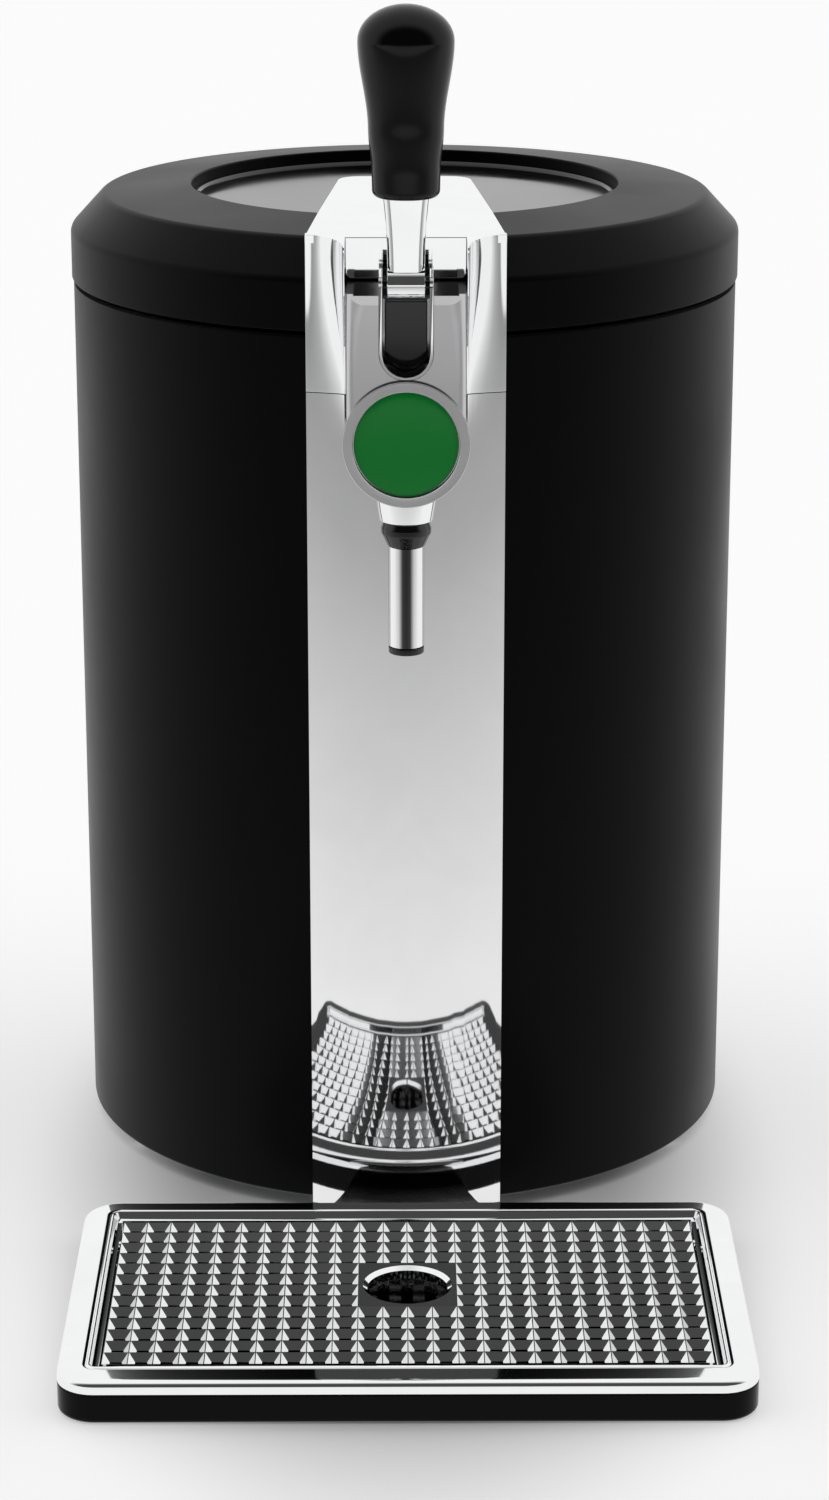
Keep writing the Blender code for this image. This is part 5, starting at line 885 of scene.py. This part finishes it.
# %% One function lays out a finish
def finish(title, colour, roughness, metallic=0.0, grain=900.0, bump=0.02, depth=0.0002, drift=0.05, **fixed):
    material = bpy.data.materials.new(title)
    material.use_nodes = True
    tree = material.node_tree
    shader = tree.nodes["Principled BSDF"]
    shader.inputs["Metallic"].default_value = metallic
    for label, value in fixed.items():
        shader.inputs[label.replace("_", " ")].default_value = value
    place = add(tree, "ShaderNodeTexCoord")
    group = add(tree, "ShaderNodeGroup", node_tree=skin)
    group.inputs["Grain Scale"].default_value = grain
    group.inputs["Roughness"].default_value = roughness
    group.inputs["Drift"].default_value = drift
    tint = add(tree, "ShaderNodeMix", data_type="RGBA")
    tint.inputs["A"].default_value = (*[c * 0.95 for c in colour], 1)
    tint.inputs["B"].default_value = (*[min(c * 1.05, 1) for c in colour], 1)
    relief = add(tree, "ShaderNodeBump")
    relief.inputs["Strength"].default_value = bump
    relief.inputs["Distance"].default_value = depth
    tree.links.new(place.outputs["Object"], group.inputs["Vector"])
    tree.links.new(group.outputs["Smear"], tint.inputs["Factor"])
    tree.links.new(tint.outputs["Result"], shader.inputs["Base Color"])
    tree.links.new(group.outputs["Roughness"], shader.inputs["Roughness"])
    tree.links.new(group.outputs["Height"], relief.inputs["Height"])
    tree.links.new(relief.outputs["Normal"], shader.inputs["Normal"])
    return material


looks.update({
    "black_satin": finish("satin_black_moulding", (0.002, 0.002, 0.0021), 0.36, bump=0.04,
                          Specular_IOR_Level=0.06, Sheen_Weight=0.06, Sheen_Roughness=0.4),
    "black_gloss": finish("gloss_black_moulding", (0.003, 0.003, 0.0032), 0.08, bump=0.003),
    "tray_black": finish("tray_black_moulding", (0.001, 0.001, 0.001), 0.12, bump=0.003,
                         Specular_IOR_Level=0.08),
    "chrome": finish("bright_chrome", (0.93, 0.935, 0.94), 0.04, 1.0, bump=0.0, drift=0.015),
    "polished_steel": finish("polished_steel", (0.86, 0.86, 0.87), 0.035, 1.0, bump=0.0, drift=0.01),
    # The spout's steel gets a painted reflection in its base colour, laid on further down.
    "spout_steel_painted_reflection": finish("spout_steel_painted_reflection", (0.88, 0.88, 0.89), 0.05, 1.0, bump=0.0, drift=0.01),
    "satin_silver": finish("satin_silver_coat", (0.58, 0.58, 0.59), 0.20, 1.0, bump=0.01),
    "grip_black": finish("grip_black_moulding", (0.002, 0.002, 0.002), 0.14, bump=0.002,
                         Specular_IOR_Level=0.22),
    "aluminium": finish("drawn_aluminium", (0.72, 0.73, 0.75), 0.30, 1.0, bump=0.02),
    "rubber": finish("moulded_rubber", (0.020, 0.020, 0.020), 0.75, bump=0.15),
    "grey_plastic": finish("grey_moulding", (0.30, 0.31, 0.32), 0.5, bump=0.10),
    "foam": finish("rigid_foam", (0.80, 0.77, 0.66), 0.9, grain=500, bump=0.5),
    "dark_foam": finish("charcoal_foam", (0.012, 0.012, 0.013), 0.9, grain=500, bump=0.5,
                        Specular_IOR_Level=0.1),
    "circuit": finish("circuit_lacquer", (0.02, 0.16, 0.06), 0.35, bump=0.05),
    "ceramic": finish("white_ceramic", (0.82, 0.82, 0.80), 0.4, bump=0.05),
    "badge_green": finish("badge_enamel", (0.002, 0.33, 0.042), 0.22, bump=0.0, Specular_IOR_Level=0.25),
})

# %% [markdown]
# ## A painted reflection down the spout
# A narrow tube mirrors the dark end of the room as one upright streak between two bright ones. The
# curved face is too small for the studio to draw it crisply, so that reflection is painted into the
# base colour instead, following the way the surface faces.

# %% Painted reflection: dark in front, bright to either side
painted_reflection_tree = looks["spout_steel_painted_reflection"].node_tree
facing = add(painted_reflection_tree, "ShaderNodeTexCoord")
faces = add(painted_reflection_tree, "ShaderNodeSeparateXYZ")
aside = add(painted_reflection_tree, "ShaderNodeMath", operation="ABSOLUTE")
painted_reflection_ramp = add(painted_reflection_tree, "ShaderNodeValToRGB")
PAINTED_REFLECTION_STOPS = [(0.0, 0.05), (0.22, 0.08), (0.42, 0.85), (0.90, 0.95), (1.0, 0.25)]
for index, (position, value) in enumerate(PAINTED_REFLECTION_STOPS):
    stop = painted_reflection_ramp.color_ramp.elements[index] if index < 2 else painted_reflection_ramp.color_ramp.elements.new(0.999)
    stop.position = position
    stop.color = (value, value, value, 1)
painted_reflection_tree.links.new(facing.outputs["Normal"], faces.inputs["Vector"])
painted_reflection_tree.links.new(faces.outputs["X"], aside.inputs[0])
painted_reflection_tree.links.new(aside.outputs["Value"], painted_reflection_ramp.inputs["Fac"])
painted_reflection_tree.links.new(painted_reflection_ramp.outputs["Color"], painted_reflection_tree.nodes["Principled BSDF"].inputs["Base Color"])
print("the spout's finish has", len(painted_reflection_tree.nodes), "nodes")

# %% Lay the finishes on new and measured pieces alike
# The lid's foam shows in the notch over the hinge, so it is a charcoal one.
for name, piece in nodes.items():
    piece.data.materials.clear()
    piece.data.materials.append(looks["dark_foam" if name == "lid_foam" else slot_of[name]])
for piece in bpy.data.objects:
    if "look" in piece:
        piece.data.materials.append(looks[piece["look"]])
print("finishes laid:", len(looks))

# %% [markdown]
# ## The studio
# The photograph is a plain studio shot: a white sweep behind, a broad white light on each side and from
# above, and a darker room behind the camera. Chrome shows its surroundings, so those matter more than
# any lamp. The column mirrors the floor in front, where glossy rays see a painted reflection that
# darkens with distance and turns white far away, as a painted screen. Camera rays see the paper with the
# shadow that the machine casts on it, plus a painted glow that fades out near the machine, so painted
# shade lies round its foot and in front of the tray.

# %% Floor
pick_nothing()
bpy.ops.mesh.primitive_plane_add(size=14, location=(0, 0, 0))
floor = bpy.context.object
floor.name = "table_top"
paper = bpy.data.materials.new("paper_sweep")
paper.use_nodes = True
tree = paper.node_tree
paper_shader = tree.nodes["Principled BSDF"]
paper_shader.inputs["Roughness"].default_value = 0.9
paper_shader.inputs["Specular IOR Level"].default_value = 0.0
PAPER, PAINTED_LIFT = 0.74, 0.43  # the sheet's own grey, and what camera rays see added away from the machine
paper_shader.inputs["Base Color"].default_value = (PAPER, PAPER, PAPER, 1)
rays = add(tree, "ShaderNodeLightPath")
# Painted shade: camera rays see an added glow that is held back near the machine, in an oval that reaches
# further in front, so the paper round its foot stays darker than its cast shadow alone makes it.
painted_lift = add(tree, "ShaderNodeMath", operation="MULTIPLY")
painted_shade_oval = add(tree, "ShaderNodeVectorMath", operation="MULTIPLY")
painted_shade_oval.inputs[1].default_value = (1.35, 0.60, 1)
reach = add(tree, "ShaderNodeVectorMath", operation="LENGTH")
painted_shade_fade = add(tree, "ShaderNodeMapRange", interpolation_type="SMOOTHSTEP")
painted_shade_fade.inputs["From Min"].default_value = 0.10
painted_shade_fade.inputs["From Max"].default_value = 0.22
painted_shade_fade.inputs["To Min"].default_value = 0.0
painted_shade_fade.inputs["To Max"].default_value = PAINTED_LIFT
painted_lift_glow = add(tree, "ShaderNodeEmission")
both = add(tree, "ShaderNodeAddShader")
place = add(tree, "ShaderNodeTexCoord")
split = add(tree, "ShaderNodeSeparateXYZ")
ahead = add(tree, "ShaderNodeMapRange")
ahead.inputs["From Min"].default_value = -2.4
ahead.inputs["From Max"].default_value = 0.1
painted_reflection_shades = add(tree, "ShaderNodeValToRGB")
# Painted reflection: what the chrome sees of the floor, a ramp of glow from a painted white screen far in
# front to the tray
PAINTED_FLOOR_REFLECTION = [(-2.40, 0.95), (-1.90, 0.95), (-1.83, 0.28), (-1.10, 0.44), (-0.60, 0.70), (-0.25, 0.92)]
ramp = painted_reflection_shades.color_ramp
for index, (y, value) in enumerate(PAINTED_FLOOR_REFLECTION):
    stop = ramp.elements[index] if index < 2 else ramp.elements.new(0.999)
    stop.position = (y + 2.4) / 2.5
    stop.color = (value, value, value, 1)
painted_reflection_glow = add(tree, "ShaderNodeEmission")
choose = add(tree, "ShaderNodeMixShader")
tree.links.new(rays.outputs["Is Camera Ray"], painted_lift.inputs[0])
tree.links.new(place.outputs["Object"], painted_shade_oval.inputs[0])
tree.links.new(painted_shade_oval.outputs["Vector"], reach.inputs[0])
tree.links.new(reach.outputs["Value"], painted_shade_fade.inputs["Value"])
tree.links.new(painted_shade_fade.outputs["Result"], painted_lift.inputs[1])
tree.links.new(painted_lift.outputs["Value"], painted_lift_glow.inputs["Strength"])
tree.links.new(paper_shader.outputs["BSDF"], both.inputs[0])
tree.links.new(painted_lift_glow.outputs["Emission"], both.inputs[1])
tree.links.new(place.outputs["Object"], split.inputs["Vector"])
tree.links.new(split.outputs["Y"], ahead.inputs["Value"])
tree.links.new(ahead.outputs["Result"], painted_reflection_shades.inputs["Fac"])
tree.links.new(painted_reflection_shades.outputs["Color"], painted_reflection_glow.inputs["Color"])
tree.links.new(rays.outputs["Is Glossy Ray"], choose.inputs["Fac"])
tree.links.new(both.outputs["Shader"], choose.inputs[1])
tree.links.new(painted_reflection_glow.outputs["Emission"], choose.inputs[2])
tree.links.new(choose.outputs["Shader"], tree.nodes["Material Output"].inputs["Surface"])
floor.data.materials.append(paper)

# %% World: white to camera, bright at the sides and behind, dark in front
scene = bpy.context.scene
scene.view_settings.view_transform = "Standard"
world = bpy.data.worlds.new("studio")
scene.world = world
world.use_nodes = True
tree = world.node_tree
sky = tree.nodes["Background"]
direction = add(tree, "ShaderNodeTexCoord")
parts = add(tree, "ShaderNodeSeparateXYZ")
front = add(tree, "ShaderNodeMapRange", interpolation_type="SMOOTHSTEP")
front.inputs["From Min"].default_value = -0.62
front.inputs["From Max"].default_value = -0.18
front.inputs["To Min"].default_value = 0.06
front.inputs["To Max"].default_value = 0.95
camera_ray = add(tree, "ShaderNodeLightPath")
pick_white = add(tree, "ShaderNodeMix", data_type="FLOAT")
pick_white.inputs["B"].default_value = 1.0
tree.links.new(direction.outputs["Generated"], parts.inputs["Vector"])
tree.links.new(parts.outputs["Y"], front.inputs["Value"])
tree.links.new(camera_ray.outputs["Is Camera Ray"], pick_white.inputs["Factor"])
tree.links.new(front.outputs["Result"], pick_white.inputs["A"])
tree.links.new(pick_white.outputs["Result"], sky.inputs["Strength"])
sky.inputs["Color"].default_value = (1, 1, 1, 1)

# %% Camera
lens = bpy.data.cameras.new("camera")
lens.lens = 90.72
lens.sensor_width = 36
camera = bpy.data.objects.new("camera", lens)
camera.location = (-0.00457, -1.4271, 0.6253)
camera.rotation_euler = (radians(90 - 17.3374), 0, radians(-0.3211))
scene.collection.objects.link(camera)
scene.camera = camera
print("camera at", tuple(camera.location))
